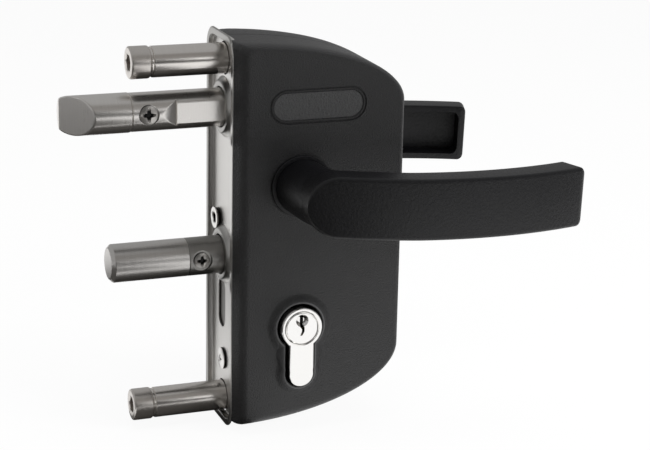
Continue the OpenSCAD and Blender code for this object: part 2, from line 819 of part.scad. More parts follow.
module cross_screw(x, z, bolt_r, d) {
    difference() {
        union() {
            ycyl(-bolt_r + 0.9 - cross_head_h, -bolt_r + 0.9, x, z, d / 2);
            ycyl(-bolt_r + 0.9, -spigot_d / 2 + 0.1, x, z, cross_screw_d / 2);
        }
        cross_recess(x, -bolt_r + 0.9 - cross_head_h, z);
    }
}

module latch_head() {
    tip_y = 4.6;
    color("#c4c6c8") difference() {
        union() {
            xcyl(-latch_reach, latch_split, 0, latch_z, latch_head_d / 2);
            xcyl(latch_split - over, latch_split + spigot_len, 0, latch_z, spigot_d / 2);
        }
        translate([-latch_reach, tip_y, latch_z]) rotate([0, 0, -90 + latch_bevel])
            translate([-2 * latch_head_d, -2 * latch_head_d, -latch_head_d])
                cube([2 * latch_head_d + latch_head_d * 2, 2 * latch_head_d, 2 * latch_head_d]);
        ycyl(-latch_head_d, -spigot_d / 2 + 0.2, latch_screw_x, latch_z, cross_screw_d / 2 + seat_fit);
    }
}

module latch_shaft() {
    shaft_r = latch_shaft_d / 2;
    color("#b9bbbd") difference() {
        xcyl(latch_split, latch_end, 0, latch_z, shaft_r);
        xcyl(latch_split - over, latch_split + spigot_len + 0.4, 0, latch_z, spigot_d / 2 + seat_fit);
        xcyl(latch_end - tail_seat, latch_end + over, 0, latch_z, tail_d / 2 + seat_fit);
        cross_screw_seat(latch_screw_x, latch_z, shaft_r, latch_screw_head_d);
        box(scoop_x, flat_end, -latch_shaft_d, -shaft_r + flat_depth, latch_z - shaft_r - over, latch_z + shaft_r + over);
        box(rim_t, latch_end + over, -arm_half - 0.6, arm_half + 0.6,
            latch_z - shaft_r - over, latch_z - tail_d / 2 - 0.2);
    }
}

module latch_screw() {
    color("#d0d2d4") cross_screw(latch_screw_x, latch_z, latch_shaft_d / 2, latch_screw_head_d);
}

module latch_tail() {
    color("#a9abad") {
        xcyl(latch_end - tail_seat, tail_end, 0, latch_z, tail_d / 2);
        box(lug_x, lug_x + lug_t, -lug_half, lug_half, lug_bottom, latch_z);
    }
}

// Block behind the plate that a bolt slides in
module guide_block(z, low, high, bolt_d) {
    difference() {
        box(back_x, guide_right, -case_in, case_in, low, high);
        xcyl(back_x - over, guide_right + over, 0, z, bolt_d / 2 + run_fit);
        xcyl(back_x - over, guide_right - 0.6, plate_screw_y, plate_screw_z, plate_screw_d / 2 + seat_fit);
    }
}

module latch_guide() {
    color("#b59a55") guide_block(latch_z, latch_z - guide_reach, latch_guide_top, latch_shaft_d);
}

module deadbolt_guide() {
    color("#b59a55") guide_block(deadbolt_z, deadbolt_z - guide_drop, deadbolt_guide_top, deadbolt_d);
}

module deadbolt_tip() {
    tip_r = deadbolt_d / 2;
    color("#bcbec0") difference() {
        union() {
            xcone(-deadbolt_reach, -deadbolt_reach + deadbolt_bevel, 0, deadbolt_z, tip_r - deadbolt_bevel, tip_r);
            xcyl(-deadbolt_reach + deadbolt_bevel, deadbolt_split, 0, deadbolt_z, tip_r);
            xcyl(deadbolt_split - over, deadbolt_split + spigot_len, 0, deadbolt_z, spigot_d / 2);
        }
        ycyl(-deadbolt_d, -spigot_d / 2 + 0.2, deadbolt_screw_x, deadbolt_z, cross_screw_d / 2 + seat_fit);
    }
}

module deadbolt_body() {
    body_r = deadbolt_d / 2;
    color("#4e5053") difference() {
        xcyl(deadbolt_split, deadbolt_end, 0, deadbolt_z, body_r);
        xcyl(deadbolt_split - over, deadbolt_split + spigot_len + 0.4, 0, deadbolt_z, spigot_d / 2 + seat_fit);
        cross_screw_seat(deadbolt_screw_x, deadbolt_z, body_r, deadbolt_screw_head_d);
        box(deadbolt_flat_start, deadbolt_end + over, -deadbolt_d, deadbolt_d, deadbolt_z - deadbolt_d, deadbolt_flat);
    }
}

module deadbolt_screw() {
    color("#c8cacc") cross_screw(deadbolt_screw_x, deadbolt_z, deadbolt_d / 2, deadbolt_screw_head_d);
}

// Half angle of a tooth at radius r, on a gear whose teeth have the given pitch radius
function involute_degrees(a) = tan(a) * 180 / PI - a;
function tooth_half_angle(teeth, pitch_r, r) =
    let (base = pitch_r * cos(pressure), half = (PI * gear_module / 2 - backlash / 2) / 2 / pitch_r * 180 / PI)
    half + involute_degrees(pressure) - involute_degrees(acos(min(1, base / r)));

// Outline of a gear with its first tooth at angle 0
function gear_outline(teeth) =
    let (
        pitch_r = teeth * gear_module / 2,
        root = pitch_r - dedendum * gear_module,
        tip = pitch_r + addendum * gear_module,
        foot = max(root, pitch_r * cos(pressure)),
        radii = [root, foot + 0.02, (foot + pitch_r) / 2, pitch_r, (pitch_r + tip) / 2, tip]
    )
    [for (i = [0:teeth - 1], side = [-1, 1], k = [0:5])
        let (
            r = side < 0 ? radii[k] : radii[5 - k],
            a = i * 360 / teeth + side * tooth_half_angle(teeth, pitch_r, max(r, foot))
        )
        r * [cos(a), sin(a)]];

module gear(teeth, turn, y0, y1) {
    xz(y0, y1) rotate(turn) polygon(gear_outline(teeth));
}

// Rack outline with teeth pointing down, a gap between teeth above the pinion's axis
module rack_outline() {
    tip_z = rack_pitch_z - addendum * gear_module;
    root_line = rack_pitch_z + dedendum * gear_module;
    half = (tooth_pitch / 2 - backlash / 2) / 2;
    wide = half + dedendum * gear_module * tan(pressure);
    narrow = half - addendum * gear_module * tan(pressure);
    first = ceil((rack_start - idler_x + wide) / tooth_pitch - 0.5);
    last = floor((rack_end - idler_x - wide) / tooth_pitch - 0.5);
    polygon(concat(
        [[rack_end, root_line], [rack_end, deadbolt_flat], [rack_start, deadbolt_flat], [rack_start, root_line]],
        [for (i = [first:last], p = [[-wide, root_line], [-narrow, tip_z], [narrow, tip_z], [wide, root_line]])
            [idler_x + (i + 0.5) * tooth_pitch + p[0], p[1]]]
    ));
}

module deadbolt_rack() {
    color("#a8aaac") xz(rack_y, rack_y + rack_w) rack_outline();
}

module cylinder_cam() {
    color("#a08a4a") translate([backset, 0, plug_z]) difference() {
        gear(cam_teeth, mesh_angle, -cam_w / 2, cam_w / 2);
        ycyl(-cam_w, cam_w, 0, 0, clutch_d / 2 + seat_fit);
    }
}

module cam_clutch() {
    color("#8c8e90") ycyl(-plug_inner - clutch_depth, cam_w / 2 - 0.2, backset, plug_z, clutch_d / 2);
}

module idler_gear() {
    color("#b8a05c") translate([idler_x, 0, idler_z]) difference() {
        union() {
            gear(wheel_teeth, mesh_angle + 180 - 180 / wheel_teeth, -wheel_w / 2, wheel_w / 2);
            gear(pinion_teeth, 90, wheel_w / 2 - 0.2, pinion_end);
        }
        ycyl(-wheel_w, pinion_end + over, 0, 0, axle_d / 2 + run_fit);
    }
}

module idler_axle() {
    color("#b0b2b4") {
        ycyl(-case_out, case_out, idler_x, idler_z, axle_d / 2);
        ycyl(-case_in, -wheel_w / 2 - move_gap, idler_x, idler_z, axle_collar_d / 2);
        ycyl(pinion_end + move_gap, case_in, idler_x, idler_z, axle_collar_d / 2);
    }
}

// Runs its children once for each pin, at the pin's place along one side
module at_pins(side) {
    for (i = [0:pins_per_side - 1]) translate([backset, side * (pin_first + i * pin_step), plug_z]) children();
}

module cylinder_body() {
    color("#b7a76a") difference() {
        xz(-cylinder_half, cylinder_half) cylinder_profile(0);
        ycyl(-cylinder_half - over, cylinder_half + over, backset, plug_z, plug_bore_d / 2);
        box(backset - cylinder_d, backset + cylinder_d, -cam_gap / 2, cam_gap / 2, bridge_top, plug_z + cylinder_d);
        for (side = [-1, 1]) at_pins(side) translate([0, 0, -chamber_bottom]) cylinder(h = chamber_bottom, d = chamber_d);
        xcyl(0, backset + leg_w, 0, cylinder_screw_z, cylinder_screw_d / 2 + seat_fit);
    }
}

// Keyway seen from the front: a wide upper part, a bulge to the left and a thin tail
module keyway() {
    polygon([
        [-1.5, 4.9], [1.3, 4.9], [1.3, 2.2], [0.3, 1.4], [0.3, -0.6], [1.1, -1.4], [1.1, -key_pin_top],
        [-0.5, -key_pin_top], [-0.5, -1.2], [-1.9, -0.2], [-1.9, 1.2], [-1.5, 1.7]
    ]);
}

// Plug of the front side, used as it is and turned half round for the rear
module plug() {
    difference() {
        ycyl(-cylinder_half, -plug_inner, 0, 0, plug_d / 2);
        xz(-cylinder_half - over, -plug_inner - 4) keyway();
        ycyl(-plug_inner - clutch_depth - 0.2, over, 0, 0, clutch_d / 2 + seat_fit);
        for (i = [0:pins_per_side - 1]) translate([0, -pin_first - i * pin_step, -plug_d])
            cylinder(h = plug_d - key_pin_top + 0.3, d = chamber_d);
    }
}

module front_plug() {
    color("#c9b878") translate([backset, 0, plug_z]) plug();
}

module rear_plug() {
    color("#c9b878") translate([backset, 0, plug_z]) mirror([0, 1, 0]) plug();
}

module key_pins(side) {
    at_pins(side) translate([0, 0, -key_pin_bottom]) cylinder(h = key_pin_bottom - key_pin_top, d = pin_d);
}

module front_key_pins() {
    color("#d8c27a") key_pins(-1);
}

module rear_key_pins() {
    color("#d8c27a") key_pins(1);
}

module driver_pins() {
    color("#c7c9cb") for (side = [-1, 1]) at_pins(side)
        translate([0, 0, -driver_bottom]) cylinder(h = driver_bottom - driver_top, d = pin_d);
}

module pin_springs() {
    color("#bfc1c3") for (side = [-1, 1]) at_pins(side) translate([0, 0, -pin_spring_bottom]) difference() {
        cylinder(h = pin_spring_bottom - driver_bottom, d = pin_d - 0.2);
        translate([0, 0, -over]) cylinder(h = pin_spring_bottom, d = pin_d - 1.2);
    }
}

module chamber_plugs() {
    color("#b7a76a") for (side = [-1, 1]) at_pins(side)
        translate([0, 0, -chamber_bottom]) cylinder(h = chamber_bottom - pin_spring_bottom, d = chamber_d - 0.04);
}

module cylinder_screw() {
    color("#c6c8ca") difference() {
        union() {
            xcyl(floor_x - cylinder_screw_head_h, floor_x, 0, cylinder_screw_z, cylinder_screw_head_d / 2);
            xcyl(floor_x, backset + leg_w / 2 - 0.6, 0, cylinder_screw_z, cylinder_screw_d / 2);
        }
        for (turn = [0, 90]) translate([floor_x - cylinder_screw_head_h, 0, cylinder_screw_z])
            rotate([turn, 0, 0]) cube([cross_bar * 1.4, cross_bar * 4, cross_bar], center = true);
    }
}

face_plate();
front_cover();
rear_cover();
front_bush();
rear_bush();
cover_screws();
front_lever();
rear_lever();
lever_grub_screws();
spindle();
follower();
lever_spring();
latch_head();
latch_shaft();
latch_screw();
latch_tail();
latch_spring();
spring_block();
latch_guide();
deadbolt_tip();
deadbolt_body();
deadbolt_screw();
deadbolt_rack();
deadbolt_guide();
cylinder_body();
front_plug();
rear_plug();
front_key_pins();
rear_key_pins();
driver_pins();
pin_springs();
chamber_plugs();
cylinder_cam();
cam_clutch();
idler_gear();
idler_axle();
cylinder_screw();
front_case_plate();
rear_case_plate();
case_posts();
case_screws();
anchor_blocks();
top_fixing_sleeve();
bottom_fixing_sleeve();
fixing_bolts();
sleeve_washers();
plate_screw();
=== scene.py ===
import json
import math

import bmesh
import bpy
import numpy as np
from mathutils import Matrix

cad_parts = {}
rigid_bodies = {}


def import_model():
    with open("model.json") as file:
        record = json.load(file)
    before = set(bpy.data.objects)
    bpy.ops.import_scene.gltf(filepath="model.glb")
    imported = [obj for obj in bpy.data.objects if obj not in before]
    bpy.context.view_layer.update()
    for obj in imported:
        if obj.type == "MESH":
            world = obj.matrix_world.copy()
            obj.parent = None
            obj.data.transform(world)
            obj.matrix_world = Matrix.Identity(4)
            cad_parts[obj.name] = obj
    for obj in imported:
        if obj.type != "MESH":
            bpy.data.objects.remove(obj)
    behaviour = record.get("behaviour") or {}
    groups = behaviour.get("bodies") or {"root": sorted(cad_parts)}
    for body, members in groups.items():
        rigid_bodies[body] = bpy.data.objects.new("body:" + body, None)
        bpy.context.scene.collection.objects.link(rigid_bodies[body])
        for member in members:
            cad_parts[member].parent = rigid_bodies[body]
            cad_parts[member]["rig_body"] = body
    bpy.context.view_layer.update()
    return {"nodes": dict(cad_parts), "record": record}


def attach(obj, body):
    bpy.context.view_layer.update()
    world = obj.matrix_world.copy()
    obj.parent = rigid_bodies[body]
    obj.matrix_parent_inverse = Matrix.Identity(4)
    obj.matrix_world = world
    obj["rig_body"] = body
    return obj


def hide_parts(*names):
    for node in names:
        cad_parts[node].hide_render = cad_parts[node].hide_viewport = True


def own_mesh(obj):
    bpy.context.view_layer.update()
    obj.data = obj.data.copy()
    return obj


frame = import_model()

# Face plate
# A tray pressed from stainless sheet: a raised rim, a sunk floor, collars round both bolts and punched holes.
# It is brushed along its length and closes the left side of the box.
MM = 0.001
SLOT_OF = {row["node"]: row["material_slot"] for row in frame["record"]["subparts"]}


class Value:
    """An output of a shader node. Arithmetic on it adds Math nodes, and node() adds any other node."""

    def __init__(self, tree, socket):
        self.tree = tree
        self.socket = socket

    def node(self, kind, settings, inputs, output=0):
        made = self.tree.nodes.new(kind)
        for key, value in settings.items():
            setattr(made, key, value)
        for key, value in inputs.items():
            if isinstance(value, Value):
                self.tree.links.new(value.socket, made.inputs[key])
            else:
                made.inputs[key].default_value = value
        return Value(self.tree, made.outputs[output])

    def maths(self, operation, first, second):
        return self.node("ShaderNodeMath", {"operation": operation}, {0: first, 1: second})

    def __add__(self, other):
        return self.maths("ADD", self, other)

    __radd__ = __add__

    def __sub__(self, other):
        return self.maths("SUBTRACT", self, other)

    def __rsub__(self, other):
        return self.maths("SUBTRACT", other, self)

    def __mul__(self, other):
        return self.maths("MULTIPLY", self, other)

    __rmul__ = __mul__

    def clipped(self):
        return self.maths("MINIMUM", self.maths("MAXIMUM", self, 0.0), 1.0)

    def ramp(self, start, end):
        """From 0 at start to 1 at end, both in millimetres, and level past them."""
        return (self * (1 / (end - start) / MM) - start / (end - start)).clipped()

    def scaled(self, factors):
        return self.node("ShaderNodeVectorMath", {"operation": "MULTIPLY"}, {0: self, 1: factors})

    def noise(self, factors, detail):
        inputs = {"Vector": self.scaled(factors), "Scale": 1.0, "Detail": detail, "Roughness": 0.6}
        return self.node("ShaderNodeTexNoise", {}, inputs)

    def blend(self, low, high):
        inputs = {0: self, 6: (*low, 1.0), 7: (*high, 1.0)}
        return self.node("ShaderNodeMix", {"data_type": "RGBA"}, inputs, output=2)

    def bump(self, strength, distance):
        return self.node("ShaderNodeBump", {}, {"Strength": strength, "Distance": distance, "Height": self})


def surface(name, **links):
    """A principled material; each link is a function of the object's own coordinates."""
    material = bpy.data.materials.new(name)
    material.use_nodes = True
    tree = material.node_tree
    shader = tree.nodes["Principled BSDF"]
    place = Value(tree, tree.nodes.new("ShaderNodeTexCoord").outputs["Object"])
    for key, link in links.items():
        socket = shader.inputs[key.replace("_", " ")]
        if callable(link):
            tree.links.new(link(place).socket, socket)
        else:
            socket.default_value = link
    return material


def brushed(name, dark, light, roughness, lines, depth):
    """Metal with fine lines: noise stretched by lines, in waves per metre along X, Y and Z."""
    return surface(
        name,
        Metallic=1.0,
        Base_Color=lambda place: place.noise(lines, 4.0).blend(dark, light),
        Roughness=lambda place: place.noise(lines, 3.0) * 0.08 + (roughness - 0.04),
        Normal=lambda place: place.noise(lines, 3.0).bump(depth, 0.00005),
    )


def quads(rows, cols, close_rows=False):
    """Faces of a grid whose columns run round and close; the rows close too where asked."""
    row = np.arange(rows if close_rows else rows - 1)[:, None]
    col = np.arange(cols)[None, :]
    after = (row + 1) % rows
    right = (col + 1) % cols
    corners = [row * cols + col, row * cols + right, after * cols + right, after * cols + col]
    return np.stack(corners, axis=-1).reshape(-1, 4).tolist()


def make(name, points, faces, sharp=32.0):
    """Object from points in millimetres: coincident points joined, faces turned outward, sharp edges kept."""
    mesh = bpy.data.meshes.new(name)
    mesh.from_pydata((np.asarray(points).reshape(-1, 3) * MM).tolist(), [], faces)
    work = bmesh.new()
    work.from_mesh(mesh)
    bmesh.ops.remove_doubles(work, verts=work.verts, dist=2e-6)
    bmesh.ops.dissolve_degenerate(work, edges=work.edges, dist=1e-6)
    bmesh.ops.recalc_face_normals(work, faces=work.faces)
    work.to_mesh(mesh)
    work.free()
    obj = bpy.data.objects.new(name, mesh)
    bpy.context.scene.collection.objects.link(obj)
    shade(obj, sharp)
    return obj


def shade(obj, sharp):
    """Smooth shading that breaks at edges sharper than the angle, in degrees."""
    mesh = obj.data
    mesh.polygons.foreach_set("use_smooth", np.ones(len(mesh.polygons), bool))
    mesh.set_sharp_from_angle(angle=math.radians(sharp))


def lofted(name, rings, sharp=32.0):
    """Closed solid through rings of shape (rows, columns, 3), with a flat face on the first and last."""
    rows, cols = rings.shape[:2]
    faces = quads(rows, cols)
    faces.append(list(range(cols)))
    faces.append(list(range((rows - 1) * cols, rows * cols)))
    return make(name, rings, faces, sharp)


def carve(obj, cutters, sharp=32.0):
    """Cuts solids out of a piece and keeps the result as its mesh."""
    for cutter in cutters:
        step = obj.modifiers.new("cut", "BOOLEAN")
        step.operation = "DIFFERENCE"
        step.solver = "EXACT"
        step.object = cutter
    graph = bpy.context.evaluated_depsgraph_get()
    before = obj.data
    obj.data = bpy.data.meshes.new_from_object(obj.evaluated_get(graph))
    obj.modifiers.clear()
    bpy.data.meshes.remove(before)
    for cutter in cutters:
        bpy.data.objects.remove(cutter)
    shade(obj, sharp)
    return obj


def dress(obj, node, material):
    """Hands a finished piece to the frame in place of its CAD node."""
    obj.data.materials.clear()
    obj.data.materials.append(material)
    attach(obj, frame["nodes"][node]["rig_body"])
    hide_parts(node)
    return obj


def add_to_body(obj, material):
    """Adds a detail that has no CAD node of its own to the fixed body of the lock."""
    obj.data.materials.append(material)
    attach(obj, "lock_body")


def at_x(outline, x):
    """An outline of (y, z) points set at one place along X."""
    return np.column_stack([np.full(len(outline), x), outline])


def round_rect(half, low, high, radius, steps=14):
    """Points (y, z) round a rectangle with rounded corners, anticlockwise."""
    turn = np.linspace(0, math.pi / 2, steps)
    corners = [
        (half - radius, high - radius, 0),
        (radius - half, high - radius, 1),
        (radius - half, low + radius, 2),
        (half - radius, low + radius, 3),
    ]
    sides = []
    for y, z, quarter in corners:
        angle = turn + quarter * math.pi / 2
        sides.append(np.stack([y + radius * np.cos(angle), z + radius * np.sin(angle)], axis=1))
    return np.concatenate(sides)


def soft_path(corners, radius, steps=5):
    """Open path of 2-D corners with each inner corner replaced by a parabola arc of about that radius."""
    corners = np.asarray(corners, float)
    blend = np.linspace(0, 1, steps)[:, None]
    path = [corners[:1]]
    for before, corner, after in zip(corners[:-2], corners[1:-1], corners[2:]):
        arm_in = before - corner
        arm_out = after - corner
        reach_in = min(radius, np.linalg.norm(arm_in) / 2.2) / np.linalg.norm(arm_in)
        reach_out = min(radius, np.linalg.norm(arm_out) / 2.2) / np.linalg.norm(arm_out)
        start = corner + arm_in * reach_in
        end = corner + arm_out * reach_out
        path.append((1 - blend) ** 2 * start + 2 * blend * (1 - blend) * corner + blend**2 * end)
    path.append(corners[-1:])
    return np.concatenate(path)


ROUND_STEPS = 128


def turned(profile, centre, axis="X", steps=ROUND_STEPS):
    """Rings of a turned shape: profile rows of (along, radius) carried round the axis through centre."""
    turn = np.linspace(0, 2 * math.pi, steps, endpoint=False)
    along = profile[:, :1] + 0 * turn
    across = profile[:, 1:] * np.cos(turn)
    upward = profile[:, 1:] * np.sin(turn)
    if axis == "X":
        return np.stack([along, centre[0] + across, centre[1] + upward], axis=-1)
    return np.stack([centre[0] + across, along, centre[1] + upward], axis=-1)


FIX_Z = 70.25
LATCH_Z = 50.8
BOLT_Z = -9.7
LATCH_R = 7.6
BOLT_R = 7.65
PLATE_HALF, PLATE_LOW, PLATE_HIGH, PLATE_CORNER = 17.5, -79.6, 81.0, 8.5
FLOOR_X = 2.1
FLANGE_X, TUB_INSET, TRAY_BACK = 0.9, 1.3, 2.6
RIM_WIDTH, FLOOR_INSET, PRESS_R = 3.0, 3.3, 0.7
SLEEVE_HOLE_R, BOLT_HOLE_R, SCREW_HOLE_R = 6.6, 9.0, 2.6
SLOT_Y, SLOT_LOW, SLOT_HIGH, SLOT_HALF = 2.0, -41.3, -20.5, 4.5
NOTCH_LOW, NOTCH_HIGH, NOTCH_HALF = -21.6, -18.9, 1.1
PLATE_SCREW_Y, PLATE_SCREW_Z = 7.5, 3.4
CYLINDER_SCREW_Z = -54.4
THROUGH = (-2, 8)
tray_corners = [
    (TUB_INSET, TRAY_BACK),
    (TUB_INSET, FLANGE_X),
    (0, FLANGE_X),
    (0, 0),
    (RIM_WIDTH, 0),
    (FLOOR_INSET, FLOOR_X),
    (5, FLOOR_X),
]
tray_rings = []
for inset, depth in soft_path(tray_corners, PRESS_R):
    outline = round_rect(PLATE_HALF - inset, PLATE_LOW + inset, PLATE_HIGH - inset, PLATE_CORNER - inset)
    tray_rings.append(at_x(outline, depth))
tray = lofted("face_plate_tray", np.array(tray_rings))


def rod(x_from, x_to, y, z, radius, steps=96):
    """Plain cylinder along X, used as a cutting tool."""
    return lofted("tool", turned(np.array([(x_from, radius), (x_to, radius)], float), (y, z), "X", steps))


def obround(x_from, x_to, y, low, high, half):
    """Slot-shaped cutting tool along X."""
    outline = round_rect(half, low, high, half - 0.02)
    return lofted("tool", np.array([at_x(outline, x) for x in (x_from, x_to)]) + (0, y, 0))


carve(
    tray,
    [
        rod(*THROUGH, 0, FIX_Z, SLEEVE_HOLE_R),
        rod(*THROUGH, 0, -FIX_Z, SLEEVE_HOLE_R),
        rod(*THROUGH, 0, LATCH_Z, BOLT_HOLE_R),
        rod(*THROUGH, 0, BOLT_Z, BOLT_HOLE_R),
        obround(*THROUGH, SLOT_Y, SLOT_LOW, SLOT_HIGH, SLOT_HALF),
        obround(*THROUGH, SLOT_Y, NOTCH_LOW, NOTCH_HIGH, NOTCH_HALF),
        rod(*THROUGH, PLATE_SCREW_Y, PLATE_SCREW_Z, SCREW_HOLE_R),
        rod(*THROUGH, 0, CYLINDER_SCREW_Z, SCREW_HOLE_R),
    ],
)
PLATE_LINES = (300, 3600, 90)
# Where the painted shade line runs on the floor, in millimetres along Y
SHADE_LINE_Y = -13.5


def rim_floor_and_painted_light(place):
    """Tone of the plate: fine lines, a rim darker than the floor, a painted highlight on the front rim, a
    painted shade line on the floor beside it.
    """
    depth = place.node("ShaderNodeSeparateXYZ", {}, {0: place})
    across = place.node("ShaderNodeSeparateXYZ", {}, {0: place}, output=1)
    sunk = depth.ramp(0.5, 1.93)
    # Painted highlight: the front rim is brightened as if it caught light
    front = across.ramp(-14.4, -14.9)
    # Painted shade: a dark line on the floor just inside the front rim
    off_shade_line = across.maths("ABSOLUTE", across - SHADE_LINE_Y * MM, 0.0)
    shade_line = 1.0 - off_shade_line.ramp(0.0, 0.77)
    tone = sunk.maths("MAXIMUM", sunk, front) * 0.7 - shade_line * 0.45
    lined = (tone + place.noise(PLATE_LINES, 4.0) * 0.3).clipped()
    return lined.blend((0.38, 0.375, 0.36), (0.82, 0.805, 0.78))


plate_steel = surface(
    "plate_steel",
    Metallic=1.0,
    Base_Color=rim_floor_and_painted_light,
    Roughness=lambda place: place.noise(PLATE_LINES, 3.0) * 0.08 + 0.32,
    Normal=lambda place: place.noise(PLATE_LINES, 3.0).bump(0.08, 0.00005),
)
dress(tray, "face_plate", plate_steel)
# Painted shade: a dark steel sheet behind the slot stands in for the dim inside of the box
slot_shade_steel = brushed("slot_shade_steel", (0.20, 0.195, 0.185), (0.34, 0.33, 0.315), 0.42, PLATE_LINES, 0.08)
BACKING_FROM, BACKING_TO = 2.9, 3.6
backing_outline = round_rect(6.0, -42.0, -18.0, 1.0)
backing_ends = [at_x(backing_outline, x) for x in (BACKING_FROM, BACKING_TO)]
backing = lofted("face_plate_slot_shade_backing", np.array(backing_ends) + (0, SLOT_Y, 0))
add_to_body(backing, slot_shade_steel)
BOLT_ROOM = 0.45
COLLAR_X, COLLAR_TOP_R, COLLAR_FOOT_R = 2.3, 10.2, 12.4
for label, centre_z, bolt_r in (("latch", LATCH_Z, LATCH_R), ("deadbolt", BOLT_Z, BOLT_R)):
    bore = bolt_r + BOLT_ROOM
    corners = [(COLLAR_X, bore), (0.0, bore), (0.0, COLLAR_TOP_R), (COLLAR_X, COLLAR_FOOT_R)]
    corners.append(corners[0])
    collar_path = soft_path(corners, 0.6)[:-1]
    collar = make(
        f"face_plate_{label}_collar",
        turned(collar_path, (0, centre_z)),
        quads(len(collar_path), ROUND_STEPS, close_rows=True),
    )
    add_to_body(collar, plate_steel)

# Fixing sleeves and their washers
# Plain turned steel tubes that pass through the wall of the gate tube.
# Each has a thin washer at its outer end, under the head of the fixing bolt.
sleeve_steel = brushed("sleeve_steel", (0.82, 0.785, 0.75), (0.92, 0.885, 0.845), 0.24, (2600, 60, 60), 0.004)


def ring_solid(name, corners, centre, axis, radius):
    """Turned solid whose profile is a closed loop of corners, softened by radius."""
    loop = list(corners) + [corners[0], corners[1]]
    path = soft_path(loop, radius)[1:-1]
    return make(name, turned(path, centre, axis), quads(len(path), ROUND_STEPS, close_rows=True))


SLEEVE_R, SLEEVE_BORE_R, WASHER_R = 6.125, 4.3, 5.8
WASHER_X, SLEEVE_X, SLEEVE_END = -28.6, -27.6, 4.5
for node, centre_z in (("top_fixing_sleeve", FIX_Z), ("bottom_fixing_sleeve", -FIX_Z)):
    tube = [
        (SLEEVE_END, SLEEVE_BORE_R),
        (SLEEVE_X, SLEEVE_BORE_R),
        (SLEEVE_X, SLEEVE_R),
        (SLEEVE_END, SLEEVE_R),
    ]
    dress(ring_solid(f"{node}_tube", tube, (0, centre_z), "X", 0.35), node, sleeve_steel)

washer = [(SLEEVE_X, SLEEVE_BORE_R), (WASHER_X, SLEEVE_BORE_R), (WASHER_X, WASHER_R), (SLEEVE_X, WASHER_R)]
washers = [ring_solid("sleeve_washer", washer, (0, z), "X", 0.25) for z in (FIX_Z, -FIX_Z)]


def join(name, objects):
    """One object from several: their meshes side by side."""
    work = bmesh.new()
    for part in objects:
        work.from_mesh(part.data)
        bpy.data.objects.remove(part)
    mesh = bpy.data.meshes.new(name)
    work.to_mesh(mesh)
    work.free()
    obj = bpy.data.objects.new(name, mesh)
    bpy.context.scene.collection.objects.link(obj)
    shade(obj, 32.0)
    return obj


dress(join("sleeve_washer_pair", washers), "sleeve_washers", sleeve_steel)

# Fixing bolts and the plate's adjusting screw
# Socket head screws: a turned head with a rounded rim and a hexagon socket, and a plain shank.
screw_steel = brushed("screw_steel", (0.70, 0.665, 0.63), (0.84, 0.80, 0.76), 0.34, (1200, 1200, 1200), 0.02)
FACE_R = 4.6


def socket_screw(name, head_x, under_x, end_x, centre, head_r, shank_r, flats, depth, edge):
    """Turned head and shank; the face runs in to a hexagon, flats/2 / cos(u mod 60 - 30), and down it."""
    turn = np.linspace(0, 2 * math.pi, 144, endpoint=False)
    hexagon = flats / 2 / np.cos((turn % (math.pi / 3)) - math.pi / 6)
    mouth = np.full_like(turn, flats / 2 / math.cos(math.pi / 6) + 0.25)
    corners = [(end_x, shank_r), (under_x, shank_r), (under_x, head_r), (head_x, head_r), (head_x, FACE_R)]
    rim = soft_path(corners, edge)
    rows = [(end_x, 0 * turn)]
    rows += [(x, np.full_like(turn, r)) for x, r in rim[:-1]]
    rows += [(head_x, mouth), (head_x + 0.3, hexagon), (head_x + depth, hexagon)]
    rows += [(head_x + depth + 0.5, 0 * turn)]
    points = [
        np.column_stack([np.full_like(turn, x), centre[0] + r * np.cos(turn), centre[1] + r * np.sin(turn)])
        for x, r in rows
    ]
    return make(name, np.array(points), quads(len(rows), len(turn)))


bolt_sizes = {"head_r": 6.375, "shank_r": 4.0, "flats": 6.0, "depth": 4.4, "edge": 0.9}
bolts = [socket_screw("fixing_bolt", -36.6, WASHER_X, 12.2, (0, z), **bolt_sizes) for z in (FIX_Z, -FIX_Z)]
dress(join("fixing_bolt_pair", bolts), "fixing_bolts", screw_steel)


def recess_shade_tone(axis, from_mm, to_mm, face_tone):
    """Tone of a screw by depth along an axis: bright on its face, with painted shade, black, in its recess
    and at its foot.
    """

    def tone(place):
        depth = place.node("ShaderNodeSeparateXYZ", {}, {0: place}, output=axis)
        return depth.ramp(from_mm, to_mm).blend(face_tone, (0.02, 0.02, 0.02))

    return tone


# Painted shade: black in the hexagon socket and on the head's side, past 1 mm from its face
plate_screw_steel = surface(
    "plate_screw_steel",
    Metallic=1.0,
    Base_Color=recess_shade_tone(0, 0.75, 1.0, (0.90, 0.885, 0.86)),
    Roughness=0.30,
)
plate_screw = socket_screw(
    "plate_screw_body",
    head_x=0.3,
    under_x=FLOOR_X,
    end_x=11.0,
    centre=(PLATE_SCREW_Y, PLATE_SCREW_Z),
    head_r=4.0,
    shank_r=2.5,
    flats=4.0,
    depth=1.5,
    edge=0.35,
)
dress(plate_screw, "plate_screw", plate_screw_steel)

